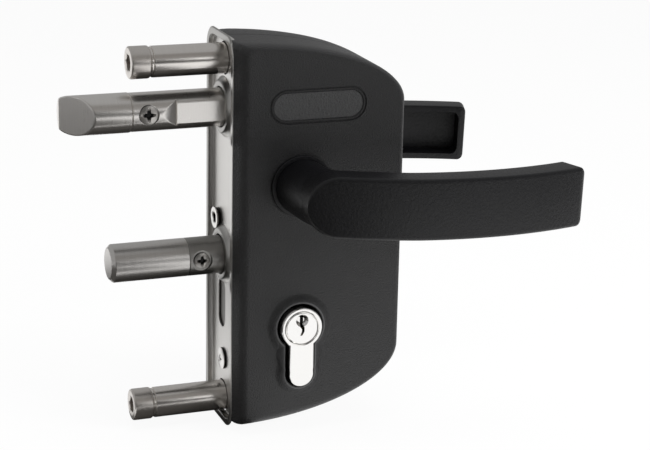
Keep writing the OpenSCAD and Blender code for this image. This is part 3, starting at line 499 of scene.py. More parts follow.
# Mechanism inside the box
# Hidden pieces keep their exact solids: gears, guides, pins, case plates, posts and screws.
plain_steel = brushed("plain_steel", (0.36, 0.36, 0.36), (0.50, 0.50, 0.49), 0.38, (700, 700, 700), 0.05)
dark_steel = brushed("dark_steel", (0.10, 0.10, 0.10), (0.17, 0.17, 0.165), 0.46, (2200, 120, 120), 0.12)
brass = brushed("brass", (0.50, 0.38, 0.17), (0.62, 0.49, 0.24), 0.32, (600, 600, 600), 0.05)
nickel = brushed("nickel", (0.93, 0.92, 0.90), (0.98, 0.97, 0.955), 0.15, (500, 120, 2600), 0.01)
INNER_FINISH = {
    "plate_steel": plain_steel,
    "bolt_steel": plain_steel,
    "dark_steel": dark_steel,
    "screw_steel": screw_steel,
    "spring_steel": plain_steel,
    "plated_brass": nickel,
    "brass": brass,
    "cover_black": dark_steel,
    "lever_black": dark_steel,
}
for node, solid in frame["nodes"].items():
    solid.data.materials.clear()
    solid.data.materials.append(INNER_FINISH[SLOT_OF[node]])

# Latch spring
# A compression spring of round wire on the latch's rod, between the rod's lug and the fixed spring block.
# It rests against the block, and the lug presses it together as the levers draw the latch in.
LUG_X, BLOCK_X = 30.6, 58.0
SPRING_R, WIRE_R, CURLS = 5.25, 0.55, 9
SPRING_GAP = 0.05


def coil_rings(steps=28, sides=12):
    """Wire rings along a helix: x runs evenly with the turn t, y = R cos t and z = R sin t about the rod."""
    turn = np.linspace(0.0, 2 * np.pi * CURLS, steps * CURLS + 1)
    side = np.linspace(0.0, 2 * np.pi, sides, endpoint=False)
    first = LUG_X + WIRE_R + SPRING_GAP
    last = BLOCK_X - WIRE_R - SPRING_GAP
    along = first + (last - first) * turn / turn[-1]
    reach = SPRING_R + WIRE_R * np.cos(side)[None, :]
    x = along[:, None] + WIRE_R * np.sin(side)[None, :]
    return np.stack([x, reach * np.cos(turn)[:, None], LATCH_Z + reach * np.sin(turn)[:, None]], axis=-1)


coil = dress(lofted("latch_spring_coil", coil_rings()), "latch_spring", plain_steel)
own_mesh(coil)

# Covers
# Two half shells moulded in black plastic with a fine spark-eroded grain. Their back edge is a long curve,
# the flat face drops off in a rounded edge, and the front one has a sunk pill-shaped field near its top.
DEPTH, WALL, FACE_Y = 70.0, 2.5, 24.0
TOP_Z, TOP_RISE = 79.4, 25.0
LOW_Z, LOW_RISE = -76.3, 29.8
SIDE_Y = 17.5
EDGE_DROP = 2.7
LEFT_X, LEFT_RUN = 0.2, 5.0
LEAN_Y, LEAN = 20.5, 0.4
SHARP_CORNER, CORNER_FROM = 0.4, 9.0
SPINDLE_X, SPINDLE_Z = 26.2, 23.0
PLUG_Z = -34.8


def at_y(outline, y):
    """An outline of (x, z) points set at one place along Y."""
    return np.column_stack([outline[:, 0], np.full(len(outline), y), outline[:, 1]])


def grain(name, dark, light, roughness, size, depth, shine=0.5):
    """Moulded plastic: a fine grain in its tone, its gloss and its relief."""
    waves = (size, size, size)
    return surface(
        name,
        Specular_IOR_Level=shine,
        Base_Color=lambda place: place.noise(waves, 5.0).blend(dark, light),
        Roughness=lambda place: place.noise(waves, 4.0) * 0.16 + (roughness - 0.08),
        Normal=lambda place: place.noise(waves, 4.0).bump(depth, 0.0006),
    )


def edge_height(x, inset, drop, centre, rise):
    """Height of the curved back edge: centre + (rise - drop) sqrt(1 - (x / (depth - inset))^2)."""
    return centre + (rise - drop) * np.sqrt(np.clip(1 - (x / (DEPTH - inset)) ** 2, 0, 1))


def box_outline(inset, left, corner, top_drop, low_drop, arc=72, bend=12):
    """Points (x, z) round the box at one depth: straight left edge, rounded corners, curved back edge."""

    def low(x):
        return -edge_height(x, inset, low_drop, -(LOW_Z + LOW_RISE), LOW_RISE)

    def high(x):
        return edge_height(x, inset, top_drop, TOP_Z - TOP_RISE, TOP_RISE)

    right = DEPTH - inset
    end = left + corner
    along = right * np.cos(np.linspace(math.acos(end / right), 0, arc))
    turn = np.linspace(0, math.pi / 2, bend, endpoint=False)
    after = turn + math.pi / 2 / bend
    bottom = np.column_stack([end - corner * np.cos(turn), low(end) + corner - corner * np.sin(turn)])
    top = np.column_stack([end - corner * np.sin(after), high(end) - corner + corner * np.cos(after)])
    lower = np.column_stack([along, low(along)])
    upper = np.column_stack([along[::-1], high(along[::-1])])
    return np.concatenate([bottom, lower, upper, top])


def rounding(height, start, drop):
    """Quarter ellipse from a start depth out to the face: drop (1 - sqrt(1 - share^2))."""
    share = min(max((height - start) / (FACE_Y - start), 0.0), 1.0)
    return drop * (1 - math.sqrt(1 - share**2))


def cover_shell(name, side, corner_r, top_start, top_drop, low_drop):
    """Half shell: outlines of the box from the parting line over the rounded edge to the flat face."""
    wall_end = LEFT_X + LEAN * (LEAN_Y - SIDE_Y)
    wall_tip = LEFT_X + LEAN * (FACE_Y - SIDE_Y)
    face_left = LEFT_X + LEFT_RUN
    levels = [(0.05, LEFT_X, 0.6, 0.25), (0.3, LEFT_X, SHARP_CORNER, 0.0), (6.0, LEFT_X, SHARP_CORNER, 0.0)]
    for height in (CORNER_FROM, 11.5, 14.0, SIDE_Y):
        share = (height - CORNER_FROM) / (SIDE_Y - CORNER_FROM)
        levels.append((height, LEFT_X, SHARP_CORNER + (corner_r - SHARP_CORNER) * share, 0.0))
    levels.append(((SIDE_Y + LEAN_Y) / 2, (LEFT_X + wall_end) / 2, corner_r, 0.0))
    for blend in np.linspace(0, 1, 14):
        left = (1 - blend) ** 2 * wall_end + 2 * blend * (1 - blend) * wall_tip + blend**2 * face_left
        levels.append((FACE_Y - (FACE_Y - LEAN_Y) * (1 - blend) ** 2, left, corner_r, 0.0))
    levels.append((FACE_Y, face_left + 0.4, corner_r, 0.4))
    rings = []
    for height, left, corner, extra in levels:
        inset = rounding(height, SIDE_Y, EDGE_DROP) + extra
        top = rounding(height, top_start, top_drop) + extra
        low = rounding(height, SIDE_Y, low_drop) + extra
        rings.append(at_y(box_outline(inset, left, corner, top, low), side * height))
    return lofted(name, np.array(rings))


def prism(outline, y_from, y_to, name="tool"):
    """Solid from an outline of (x, z) points carried along Y, mostly used as a cutting tool."""
    return lofted(name, np.array([at_y(outline, y) for y in (y_from, y_to)]))


def cylinder_reach(turn, head, half_leg, drop):
    """Distance from the plug's axis to the profile at an angle: round head, straight leg, round foot."""
    across = np.cos(turn)
    upward = np.sin(turn)
    foot = -drop * upward
    foot = foot + np.sqrt(np.clip(foot**2 - drop**2 + half_leg**2, 0, None))
    sides = half_leg / np.maximum(np.abs(across), 1e-6)
    leg = np.where(upward < 0, np.minimum(foot, sides), 0)
    leg = np.where((foot > 0) & (sides > foot), foot, leg)
    return np.maximum(head, np.where(upward < 0, leg, 0))


PROFILE_HEAD_R, HALF_LEG, LEG_DROP = 8.5, 5.0, 19.5
CUT_ROOM = 1.85


def profile_outline(room, steps=240):
    """Points (x, z) round the key cylinder's profile with some room."""
    turn = np.linspace(0, 2 * math.pi, steps, endpoint=False)
    reach = cylinder_reach(turn, PROFILE_HEAD_R + room, HALF_LEG + room, LEG_DROP)
    return np.column_stack([SPINDLE_X + reach * np.cos(turn), PLUG_Z + reach * np.sin(turn)])


def disc(x, z, radius, steps=96):
    """Points (x, z) round a circle."""
    turn = np.linspace(0, 2 * math.pi, steps, endpoint=False)
    return np.column_stack([x + radius * np.cos(turn), z + radius * np.sin(turn)])


PILL_X, PILL_Z = 32.8, 54.7


def pill(half_length, half_height, steps=40):
    """Points (x, z) round the pill-shaped field near the top of the front cover."""
    outline = round_rect(half_length, -half_height, half_height, half_height - 0.01, steps)
    return outline + (PILL_X, PILL_Z)


def plate_tool(x_to, room):
    """Cutting tool: the plate's outline with some room, carried along X."""
    outline = round_rect(PLATE_HALF + room, PLATE_LOW - room, PLATE_HIGH + room, PLATE_CORNER + room)
    return lofted("tool", np.array([at_x(outline, x) for x in (THROUGH[0], x_to)]))


cover_black = grain("cover_black", (0.002, 0.002, 0.0025), (0.014, 0.014, 0.0145), 0.42, 1500, 0.75, 0.72)
# Each cover's corner radius, where its top edge starts to round, and its drops at the top and bottom
EDGES = {"front_cover": (2.5, SIDE_Y, 2.0, 4.5), "rear_cover": (8.5, 6.0, 4.5, 2.7)}
SIDES = {"front_cover": -1, "rear_cover": 1}
DEEP_Y, BESIDE_Y, PAST_Y = 21.5, 15.7, 26
BUSH_HOLE_R, SCREW_SEAT_R, SCREW_SEAT_Y = 10.9, 3.8, 21
SCREW_SEATS = ((30, 69.5), (58, 8), (30, -66.4))
PILL_CUT_Y = -23.55
for node, side in SIDES.items():
    shell = cover_shell(f"{node}_shell", side, *EDGES[node])
    tools = [
        prism(box_outline(WALL, LEFT_RUN + 0.5, 1.0, 5.0, 5.0), side * -1, side * DEEP_Y),
        prism(box_outline(WALL, 1.6, 0.5, WALL, WALL), side * -1, side * BESIDE_Y),
        plate_tool(FLANGE_X + 0.05, 0.05),
        plate_tool(TRAY_BACK + 0.1, 0.1 - TUB_INSET),
        prism(profile_outline(CUT_ROOM), side * 1, side * PAST_Y),
        prism(disc(SPINDLE_X, SPINDLE_Z, BUSH_HOLE_R), side * 1, side * PAST_Y),
    ]
    if side < 0:
        tools.append(prism(pill(19.9, 6.95), PILL_CUT_Y, -PAST_Y))
    else:
        tools += [prism(disc(x, z, SCREW_SEAT_R), SCREW_SEAT_Y, PAST_Y) for x, z in SCREW_SEATS]
    dress(carve(shell, tools, 28.0), node, cover_black)


def swept(name, path, section):
    """Closed path of (x, z) points with a section of (outward, y) points carried along it."""
    along = np.roll(path, -1, axis=0) - np.roll(path, 1, axis=0)
    along /= np.linalg.norm(along, axis=1)[:, None]
    outward = np.column_stack([along[:, 1], -along[:, 0]])
    ring = path[None] + section[:, :1, None] * outward[None]
    y = np.broadcast_to(section[:, 1:], ring.shape[:2])
    points = np.stack([ring[..., 0], y, ring[..., 1]], axis=-1)
    return make(name, points, quads(len(section), len(path), close_rows=True))


field_black = grain("field_black", (0.010, 0.010, 0.0105), (0.044, 0.044, 0.045), 0.42, 1100, 0.9, 0.85)
# Painted highlight: a lighter grey for the bead on the crest of the cut-out's rim, as if it caught light
crest_highlight_black = grain("crest_highlight_black", (0.035, 0.035, 0.036), (0.075, 0.075, 0.077), 0.40, 1100, 0.4, 0.85)
field = prism(pill(18.2, 5.25), -23.0, -23.75, "front_cover_pill_field")
add_to_body(field, field_black)


def bead_section(half_width, middle_y, half_height=0.4):
    """Section of a bead: an ellipse of (outward, y) points."""
    turn = np.linspace(0, 2 * math.pi, 16, endpoint=False)
    return np.column_stack([half_width * np.cos(turn), middle_y + half_height * np.sin(turn)])


bead = swept("front_cover_pill_bead", pill(18.9, 5.95), bead_section(0.5, PILL_CUT_Y))
add_to_body(bead, cover_black)
PROFILE_STEPS = 320
RIM_SHOULDER, RIM_CREST, RIM_RUN = 1.4, 1.8, 3.4
RIM_FOOT_Y, RIM_HALF_RISE = 23.96, 0.77
RIM_SPREAD = {"front_cover": 1.0, "rear_cover": 0.2}
EDGE_ROOM, EDGE_Y = 1.5, 25.25


def rim_section():
    """Rows of (room, height): up the inside, over the shoulder, down a cosine flank, back inside the wall."""
    slope = np.linspace(0, 1, 16)
    height = RIM_FOOT_Y + RIM_HALF_RISE * (1 + np.cos(math.pi * slope))
    flank = np.column_stack([RIM_CREST + RIM_RUN * slope, height])
    inside = [(0.4, 19.0), (0.4, 23.6), (0.5, FACE_Y), (1.1, 25.2), (RIM_SHOULDER, 25.44)]
    return np.concatenate([inside, flank, [(5.4, 22.5), (3.0, 21.0)]])


def rim_rings(side, spread):
    """Rim round the cylinder's cut-out: outlines of its profile with growing room, at the rim's height.
    Room past the shoulder is multiplied by spread, so that the rear rim clears the cover screw below it."""
    rings = []
    for room, height in rim_section():
        wider = min(room, RIM_SHOULDER) + max(room - RIM_SHOULDER, 0.0) * spread
        rings.append(at_y(profile_outline(wider, PROFILE_STEPS), side * height))
    return np.array(rings)


for node, side in SIDES.items():
    edge_path = profile_outline(EDGE_ROOM, PROFILE_STEPS)
    # The bead on the rim's crest carries the painted highlight
    edge = swept(f"{node}_cutout_edge_highlight", edge_path, bead_section(0.45, side * EDGE_Y))
    add_to_body(edge, crest_highlight_black)
    rings = rim_rings(side, RIM_SPREAD[node])
    rim = make(f"{node}_cutout_rim", rings, quads(*rings.shape[:2], close_rows=True))
    add_to_body(rim, cover_black)

# Bushes
# Black bearing bushes pressed into both covers; only their flange shows round the lever's neck.
lever_black = grain("lever_black", (0.001, 0.001, 0.0015), (0.005, 0.005, 0.006), 0.42, 900, 0.3, 0.45)
for node, side in (("front_bush", -1), ("rear_bush", 1)):
    corners = [(20.5, 9.05), (20.5, 10.75), (FACE_Y, 10.75), (FACE_Y, 12.5), (25.5, 12.5), (25.5, 9.05)]
    bush = [(side * y, r) for y, r in corners]
    dress(ring_solid(f"{node}_ring", bush, (SPINDLE_X, SPINDLE_Z), "Y", 0.4), node, lever_black)

# Levers
# Moulded handles: a channel-section arm bowed outward, open at the back, on a round neck that flares into it.
LEVER_LEN, LEVER_HALF, LEVER_T, LEVER_WALL = 105.5, 12.0, 11.7, 2.6
LEVER_FRONT, LEVER_BOW = 58.78, 9.0
LEVER_R = ((LEVER_LEN / 2) ** 2 + LEVER_BOW**2) / (2 * LEVER_BOW)
LEVER_C = LEVER_R - LEVER_FRONT - LEVER_BOW
ROOT_X, ROOT_Z = 3.3, 0.5
POCKET_X = 19.0
LEVER_SET = math.radians(1.8)
HUB_Y = 25.85
JOURNAL_Y, JOURNAL_R = 14.0, 9.0
NECK_R, NECK_EDGE, NECK_LEN, NECK_FLARE = 11.0, 0.4, 23.6, 13.0


def arc_out(x, radius):
    """Distance from the middle plane to an arc of the arm at x along it."""
    return np.sqrt(radius**2 - (x - LEVER_LEN / 2) ** 2) - LEVER_C


def arm_rings(tip=2.6, edge=1.6, pocket_round=3.0):
    """Sections of the arm, square to its arc past the middle: round root, a channel behind, a soft tip."""
    root = ROOT_X - LEVER_HALF * np.cos(np.linspace(0.05, math.pi / 2, 28))
    near_tip = LEVER_LEN - 9
    straight = np.linspace(ROOT_X, near_tip, 120)[1:]
    body = np.concatenate([straight, np.linspace(near_tip, LEVER_LEN - tip, 40)[1:]])
    turn = np.linspace(0, math.pi / 2, 10)[1:]
    x = np.concatenate([root, body, LEVER_LEN - tip + tip * np.sin(turn)])
    shrink = np.concatenate([0 * root, 0 * body, tip * (1 - np.cos(turn))])
    rounded = np.sqrt(np.clip(LEVER_HALF**2 - (x - ROOT_X) ** 2, 0, None))
    half = np.where(x < ROOT_X, rounded, LEVER_HALF) - shrink
    slant = np.clip(np.arcsin((x - LEVER_LEN / 2) / LEVER_R), 0, None)
    front = arc_out(x, LEVER_R)
    thick = np.where(x < LEVER_LEN / 2, front - arc_out(x, LEVER_R - LEVER_T), LEVER_T)
    pocket_end = LEVER_LEN - LEVER_WALL - 0.4
    opened = np.clip((x - POCKET_X) / 2.0, 0, 1) * np.clip((pocket_end - x) / 0.5, 0, 1)
    opened = opened * opened * (3 - 2 * opened)
    near_end = np.clip((x - pocket_end + pocket_round) / pocket_round, 0, 1)
    wall = np.minimum(LEVER_WALL, half * 0.6)
    pocket = half - wall - pocket_round * (1 - np.sqrt(1 - near_end**2))
    soft = np.minimum(edge, half * 0.5)
    inner = np.minimum(0.7, wall * 0.3)
    ease = 0.6 * shrink
    floor = thick - ease - (thick - LEVER_WALL - ease) * opened
    quarter = np.linspace(0, math.pi / 2, 7)[None]

    def column(values):
        return values[:, None]

    def corner(depth, radius, inward, side, forward):
        angle = quarter if forward else math.pi / 2 - quarter
        down = column(depth) + inward * column(radius) * (1 - np.sin(angle))
        up = side * (column(half - radius) + column(radius) * np.cos(angle))
        return np.stack([down, up], axis=-1)

    loop = [
        corner(ease, soft, 1, 1, True),
        corner(ease, soft, 1, -1, False),
        corner(thick - ease, inner, -1, -1, True),
        np.stack([column(thick - ease), -column(pocket)], axis=-1),
        np.stack([column(floor), -column(pocket - 0.25)], axis=-1),
        np.stack([column(floor), column(pocket - 0.25)], axis=-1),
        np.stack([column(thick - ease), column(pocket)], axis=-1),
        corner(thick - ease, inner, -1, 1, False),
    ]
    depth, up = np.moveaxis(np.concatenate(loop, axis=1), -1, 0)
    lift = ROOT_Z * np.clip(1 - (column(x) - ROOT_X) / 30, 0, 1)
    return np.stack([
        column(x) - depth * np.sin(column(slant)),
        column(front) - depth * np.cos(column(slant)),
        up + lift,
    ], axis=-1)


def neck_rings(steps=96):
    """Round neck from the journal out to the arm; v^4 flares its right side into the arm's back."""
    turn = np.linspace(0, 2 * math.pi, steps, endpoint=False)
    rows = [(out, -JOURNAL_R, JOURNAL_R, JOURNAL_R) for out in (JOURNAL_Y, HUB_Y - 0.05)]
    rows.append((HUB_Y, NECK_EDGE - NECK_R, NECK_R - NECK_EDGE, NECK_R - NECK_EDGE))
    for v in np.linspace(0, 1, 30):
        left = -NECK_R + 2.4 * v
        rows.append((HUB_Y + NECK_EDGE + NECK_LEN * v, left, NECK_R + NECK_FLARE * v**4, NECK_R + 0.7 * v))
    rings = []
    for out, left, right, half in rows:
        middle = (left + right) / 2
        across = middle + (right - left) / 2 * np.cos(turn)
        rings.append(np.column_stack([across, np.full(steps, out), half * np.sin(turn)]))
    return np.array(rings)


def set_down(rings, side):
    """Lever coordinates to the lock's: turned down by the set angle, on the spindle, mirrored to its side."""
    x, out, z = np.moveaxis(rings, -1, 0)
    across = x * math.cos(LEVER_SET) + z * math.sin(LEVER_SET)
    upward = z * math.cos(LEVER_SET) - x * math.sin(LEVER_SET)
    return np.stack([SPINDLE_X + across, side * out, SPINDLE_Z + upward], axis=-1)


for node, side in (("front_lever", -1), ("rear_lever", 1)):
    arm = lofted("arm", set_down(arm_rings(), side), 40.0)
    neck = lofted("neck", set_down(neck_rings(), side), 40.0)
    dress(join(f"{node}_handle", [arm, neck]), node, lever_black)

# Latch
# A round bolt in two turned pieces: a bevelled head that can be turned over, and a shaft.
# A cross-recess screw locks the head.
# The shaft has a spot face for it and a milled flat that ends in a scoop.
bolt_steel = brushed("bolt_steel", (0.81, 0.785, 0.755), (0.93, 0.905, 0.875), 0.29, (3800, 90, 90), 0.012)
HEAD_X, SPLIT_X, SHAFT_END = -63.0, -36.7, 14.0
LATCH_HEAD_R = 7.8
SPLIT_EDGE = 0.3
TIP_Y = 4.6
BEVEL_RUN = 1 / math.tan(math.radians(47))


def bevel_start(y):
    """Where the head begins at a depth y: level up to the tip's edge, then sloping back, a soft ridge."""
    past = TIP_Y - y
    return HEAD_X + BEVEL_RUN * (past + np.sqrt(past**2 + 0.09)) / 2


def latch_head_rings(steps=192, edge=0.45):
    """Face rings out from the axis on the bevel, a rounded edge, then the round side back to the joint."""
    turn = np.linspace(0, 2 * math.pi, steps, endpoint=False)
    rings = []
    for radius in np.linspace(0, LATCH_HEAD_R - edge, 48):
        rings.append((bevel_start(radius * np.cos(turn)), radius + 0 * turn))
    for angle in np.linspace(0, math.pi / 2, 6)[1:]:
        radius = LATCH_HEAD_R - edge + edge * math.sin(angle)
        rings.append((bevel_start(radius * np.cos(turn)) + edge * (1 - math.cos(angle)), radius + 0 * turn))
    joint = ((SPLIT_X - SPLIT_EDGE, LATCH_HEAD_R), (SPLIT_X, LATCH_HEAD_R - SPLIT_EDGE), (SPLIT_X, 0))
    for x, radius in joint:
        rings.append((x + 0 * turn, radius + 0 * turn))
    return np.array([np.column_stack([x, r * np.cos(turn), LATCH_Z + r * np.sin(turn)]) for x, r in rings])


head = latch_head_rings()
dress(make("latch_head_turned", head, quads(*head.shape[:2])), "latch_head", bolt_steel)


def bolt_rings(start, end, radius, centre_z, cut_front, cut_low, steps=192, rows=330):
    """Round bolt whose front is cut back to cut_front(x) and its underside to cut_low."""
    turn = np.linspace(0, 2 * math.pi, steps, endpoint=False)
    x = np.concatenate([[start, start], np.linspace(start + SPLIT_EDGE, end, rows)])
    size = np.concatenate([[0, radius - SPLIT_EDGE], np.full(rows, radius)])
    y = size[:, None] * np.cos(turn)
    z = size[:, None] * np.sin(turn)
    along = np.broadcast_to(x[:, None], y.shape)
    limit = np.broadcast_to(cut_front(x)[:, None], y.shape)
    y = np.maximum(y, limit)
    z = cut_low(along, y, z)
    return np.stack([along, y, centre_z + z], axis=-1)


SCOOP_FROM, SCOOP_TO, FLAT_TO = -25.2, -18.8, 0.3
SCOOP_DEPTH, FLAT_DEPTH = 2.2, 1.2


def latch_front(x):
    """Front limit of the shaft: a scoop that deepens away from the screw, a wall, then a milled flat."""
    run = np.clip((x - SCOOP_FROM) / (SCOOP_TO - SCOOP_FROM), 0, 1)
    scoop = -LATCH_R + SCOOP_DEPTH * run**1.6
    flat = np.where((x > SCOOP_TO) & (x < FLAT_TO), -LATCH_R + FLAT_DEPTH, -LATCH_R - 1)
    return np.where((x > SCOOP_FROM) & (x <= SCOOP_TO), scoop, flat)


ARM_SLOT_X, ARM_SLOT_HALF, ARM_SLOT_Z = 2.6, 3.6, -4.2


def latch_low(x, y, z):
    """Slot under the inner end, where the follower's arm passes."""
    return np.where((x > ARM_SLOT_X) & (np.abs(y) < ARM_SLOT_HALF) & (z < ARM_SLOT_Z), ARM_SLOT_Z, z)


BEFORE_Y = -9
LATCH_SCREW_X, LATCH_SPOT_R, LATCH_SPOT_DEPTH = -30.3, 4.1, 1.8
shaft = lofted("latch_shaft_turned", bolt_rings(SPLIT_X, SHAFT_END, LATCH_R, LATCH_Z, latch_front, latch_low))
carve(shaft, [prism(disc(LATCH_SCREW_X, LATCH_Z, LATCH_SPOT_R), BEFORE_Y, -LATCH_R + LATCH_SPOT_DEPTH)])
dress(shaft, "latch_shaft", bolt_steel)


def cross_screw(name, axis, centre, face, base, radius, arm, dome, recess):
    """Round head with a cross recess: a disc whose height is its dome less a cross of tapering arms."""
    turn = np.linspace(0, 2 * math.pi, 160, endpoint=False)
    reach = np.concatenate([np.linspace(0, radius - 0.35, 60), radius - 0.35 * np.linspace(0.5, 0, 4) ** 2])
    across = reach[:, None] * np.cos(turn)
    upward = reach[:, None] * np.sin(turn)
    near = np.minimum(np.abs(across), np.abs(upward))
    far = np.maximum(np.abs(across), np.abs(upward))
    cross = np.clip((arm * 0.36 - 0.2 * far - near) / 0.22, 0, 1) * np.clip((arm - far) / (0.7 * arm), 0, 1)
    height = dome * (1 - (reach[:, None] / radius) ** 2) - recess * cross
    sign = math.copysign(1, face - base)
    depth = face - sign * dome + sign * height
    last = np.full((1, len(turn)), base)
    depth = np.concatenate([depth, last, last])
    across = np.concatenate([across, across[-1:], 0 * across[-1:]])
    upward = np.concatenate([upward, upward[-1:], 0 * upward[-1:]])
    if axis == "Y":
        points = np.stack([centre[0] + across, depth, centre[1] + upward], axis=-1)
    else:
        points = np.stack([depth, centre[0] + across, centre[1] + upward], axis=-1)
    return make(name, points, quads(*points.shape[:2]), 40.0)


# Painted shade: black in the cross recess and at the head's foot
cross_steel = surface(
    "cross_steel",
    Metallic=1.0,
    Base_Color=recess_shade_tone(1, -7.05, -6.7, (0.58, 0.56, 0.535)),
    Roughness=0.34,
)
latch_screw = cross_screw(
    "latch_screw_head",
    axis="Y",
    centre=(LATCH_SCREW_X, LATCH_Z),
    face=-7.5,
    base=-5.7,
    radius=3.8,
    arm=2.9,
    dome=0.6,
    recess=1.1,
)
dress(latch_screw, "latch_screw", cross_steel)

# Deadbolt
# The same build: a plain turned tip with a small bevel, screwed to a darker body that the key's gear drives.
TIP_X, JOINT_X, BODY_END = -45.5, -14.0, 49.9
TIP_BEVEL = 1.5
tip_corners = [
    (TIP_X, 0),
    (TIP_X, BOLT_R - TIP_BEVEL),
    (TIP_X + TIP_BEVEL, BOLT_R),
    (JOINT_X, BOLT_R),
    (JOINT_X, 0),
]
tip = turned(soft_path(tip_corners, 0.3), (0, BOLT_Z))
tip_steel = brushed("tip_steel", (0.66, 0.64, 0.62), (0.80, 0.78, 0.755), 0.34, (3000, 90, 90), 0.03)
dress(make("deadbolt_tip_turned", tip, quads(*tip.shape[:2])), "deadbolt_tip", tip_steel)


def bolt_front(x):
    """The deadbolt's body has no flat in front."""
    return np.full_like(x, -BOLT_R - 1)


RACK_X, RACK_Z = 14.0, -3.3


def bolt_low(x, y, z):
    """Flat under the inner end that carries the rack."""
    return np.where((x > RACK_X) & (z < RACK_Z), RACK_Z, z)


BOLT_SCREW_X, BOLT_SPOT_R, BOLT_SPOT_DEPTH = -9.0, 4.2, 1.3
body = lofted("deadbolt_body_turned", bolt_rings(JOINT_X, BODY_END, BOLT_R, BOLT_Z, bolt_front, bolt_low))
carve(body, [prism(disc(BOLT_SCREW_X, BOLT_Z, BOLT_SPOT_R), BEFORE_Y, -BOLT_R + BOLT_SPOT_DEPTH)])
body_steel = brushed("body_steel", (0.34, 0.333, 0.318), (0.44, 0.43, 0.413), 0.40, (2400, 120, 120), 0.12)
dress(body, "deadbolt_body", body_steel)
bolt_screw = cross_screw(
    "deadbolt_screw_head",
    axis="Y",
    centre=(BOLT_SCREW_X, BOLT_Z),
    face=-7.5,
    base=-6.25,
    radius=3.25,
    arm=2.5,
    dome=0.6,
    recess=1.1,
)
dress(bolt_screw, "deadbolt_screw", cross_steel)

# Key cylinder
# Nickel-plated brass body of the usual profile, with two turned plugs that have a broached keyway.
# A cross-recess screw through the plate holds the body.
CYLINDER_Y = 27.7
BORE_R, BORE_MOUTH_R = 6.85, 7.25
PLUG_R, PLUG_FACE_R, PLUG_FROM = 6.75, 6.3, 4.6


def cylinder_rings(edge=0.5, steps=360):
    """Front bore, front face, rounded edge, side, and back again to the rear bore, on the profile's reach."""
    turn = np.linspace(0, 2 * math.pi, steps, endpoint=False)
    reach = cylinder_reach(turn, PROFILE_HEAD_R, HALF_LEG, LEG_DROP)
    rows = [(-CYLINDER_Y + 0.6, BORE_R + 0 * turn), (-CYLINDER_Y, BORE_MOUTH_R + 0 * turn)]
    rows += [(-CYLINDER_Y, reach - edge - 0.2), (-CYLINDER_Y, reach - edge)]
    for angle in np.linspace(0, math.pi / 2, 6)[1:]:
        rows.append((-CYLINDER_Y + edge * (1 - math.cos(angle)), reach - edge + edge * math.sin(angle)))
    rows += [(-y, r) for y, r in reversed(rows)]
    rings = []
    for y, r in rows:
        outline = np.column_stack([SPINDLE_X + r * np.cos(turn), PLUG_Z + r * np.sin(turn)])
        rings.append(at_y(outline, y))
    return np.array(rings)


barrel = cylinder_rings()
barrel_faces = quads(*barrel.shape[:2], close_rows=True)
dress(make("cylinder_body_profile", barrel, barrel_faces), "cylinder_body", nickel)
KEYWAY = np.array([
    (-0.5, 4.9), (0.9, 4.9), (0.9, 2.3), (0.2, 1.4), (1.0, 0.5), (1.0, -1.3),
    (0.1, -2.9), (-0.8, -2.9), (-0.1, -1.2), (-0.1, -0.2), (-0.9, 0.8), (-0.5, 2.4),
])
for node, side in (("front_plug", -1), ("rear_plug", 1)):
    outside = [
        (PLUG_FROM, 0),
        (PLUG_FROM, PLUG_R),
        (CYLINDER_Y - 0.5, PLUG_R),
        (CYLINDER_Y, PLUG_FACE_R),
        (CYLINDER_Y, 0),
    ]
    plug_rings = turned(np.array(outside, float) * (side, 1), (SPINDLE_X, PLUG_Z), "Y")
    plug = make(f"{node}_turned", plug_rings, quads(*plug_rings.shape[:2]))
    funnel = np.array([(CYLINDER_Y + 0.4, 2.9), (CYLINDER_Y - 1.6, 1.3)]) * (side, 1)
    slot = prism(KEYWAY * (-side, 1) + (SPINDLE_X, PLUG_Z), side * 16, side * 29)
    carve(plug, [slot, lofted("tool", turned(funnel, (SPINDLE_X, PLUG_Z + 3.3), "Y"))])
    dress(plug, node, nickel)
holding_screw = cross_screw(
    "cylinder_screw_head",
    axis="X",
    centre=(0, CYLINDER_SCREW_Z),
    face=0.7,
    base=FLOOR_X,
    radius=4.4,
    arm=2.0,
    dome=0.4,
    recess=0.9,
)
# Painted shade: black on the part of the head's side nearest the plate's floor
holding_steel = surface(
    "holding_steel",
    Metallic=1.0,
    Base_Color=recess_shade_tone(0, 1.2, 1.45, (0.92, 0.905, 0.88)),
    Roughness=0.30,
)
dress(holding_screw, "cylinder_screw", holding_steel)

# Stage
# A white floor, cards that only reflections see, soft lights above and in front, and the photograph's view.
world = bpy.data.worlds.new("surround")
bpy.context.scene.world = world
world.use_nodes = True
world.node_tree.nodes["Background"].inputs["Color"].default_value = (1, 1, 1, 1)
world.node_tree.nodes["Background"].inputs["Strength"].default_value = 0.36

FLOOR_Z = PLATE_LOW - 0.2


def flat_sheet(name, x_from, x_to, y_from, y_to, z):
    """Level rectangle, in millimetres."""
    corners = [(x_from, y_from, z), (x_to, y_from, z), (x_to, y_to, z), (x_from, y_to, z)]
    return make(name, np.array(corners, float), [[0, 1, 2, 3]])


def floor_paper():
    """White paper: mostly its own white to camera, glossy and transmission rays, so shadows stay faint."""
    material = surface("floor_white", Base_Color=(0.9, 0.9, 0.9, 1), Roughness=1.0)
    tree = material.node_tree
    rays = tree.nodes.new("ShaderNodeLightPath")
    seen = Value(tree, rays.outputs["Is Camera Ray"]) + Value(tree, rays.outputs["Is Glossy Ray"])
    seen = (seen + Value(tree, rays.outputs["Is Transmission Ray"])) * 0.93
    white = seen.node("ShaderNodeEmission", {}, {"Strength": 1.0})
    paper = Value(tree, tree.nodes["Principled BSDF"].outputs[0])
    mixed = seen.node("ShaderNodeMixShader", {}, {0: seen, 1: paper, 2: white})
    tree.links.new(mixed.socket, tree.nodes["Material Output"].inputs["Surface"])
    return material


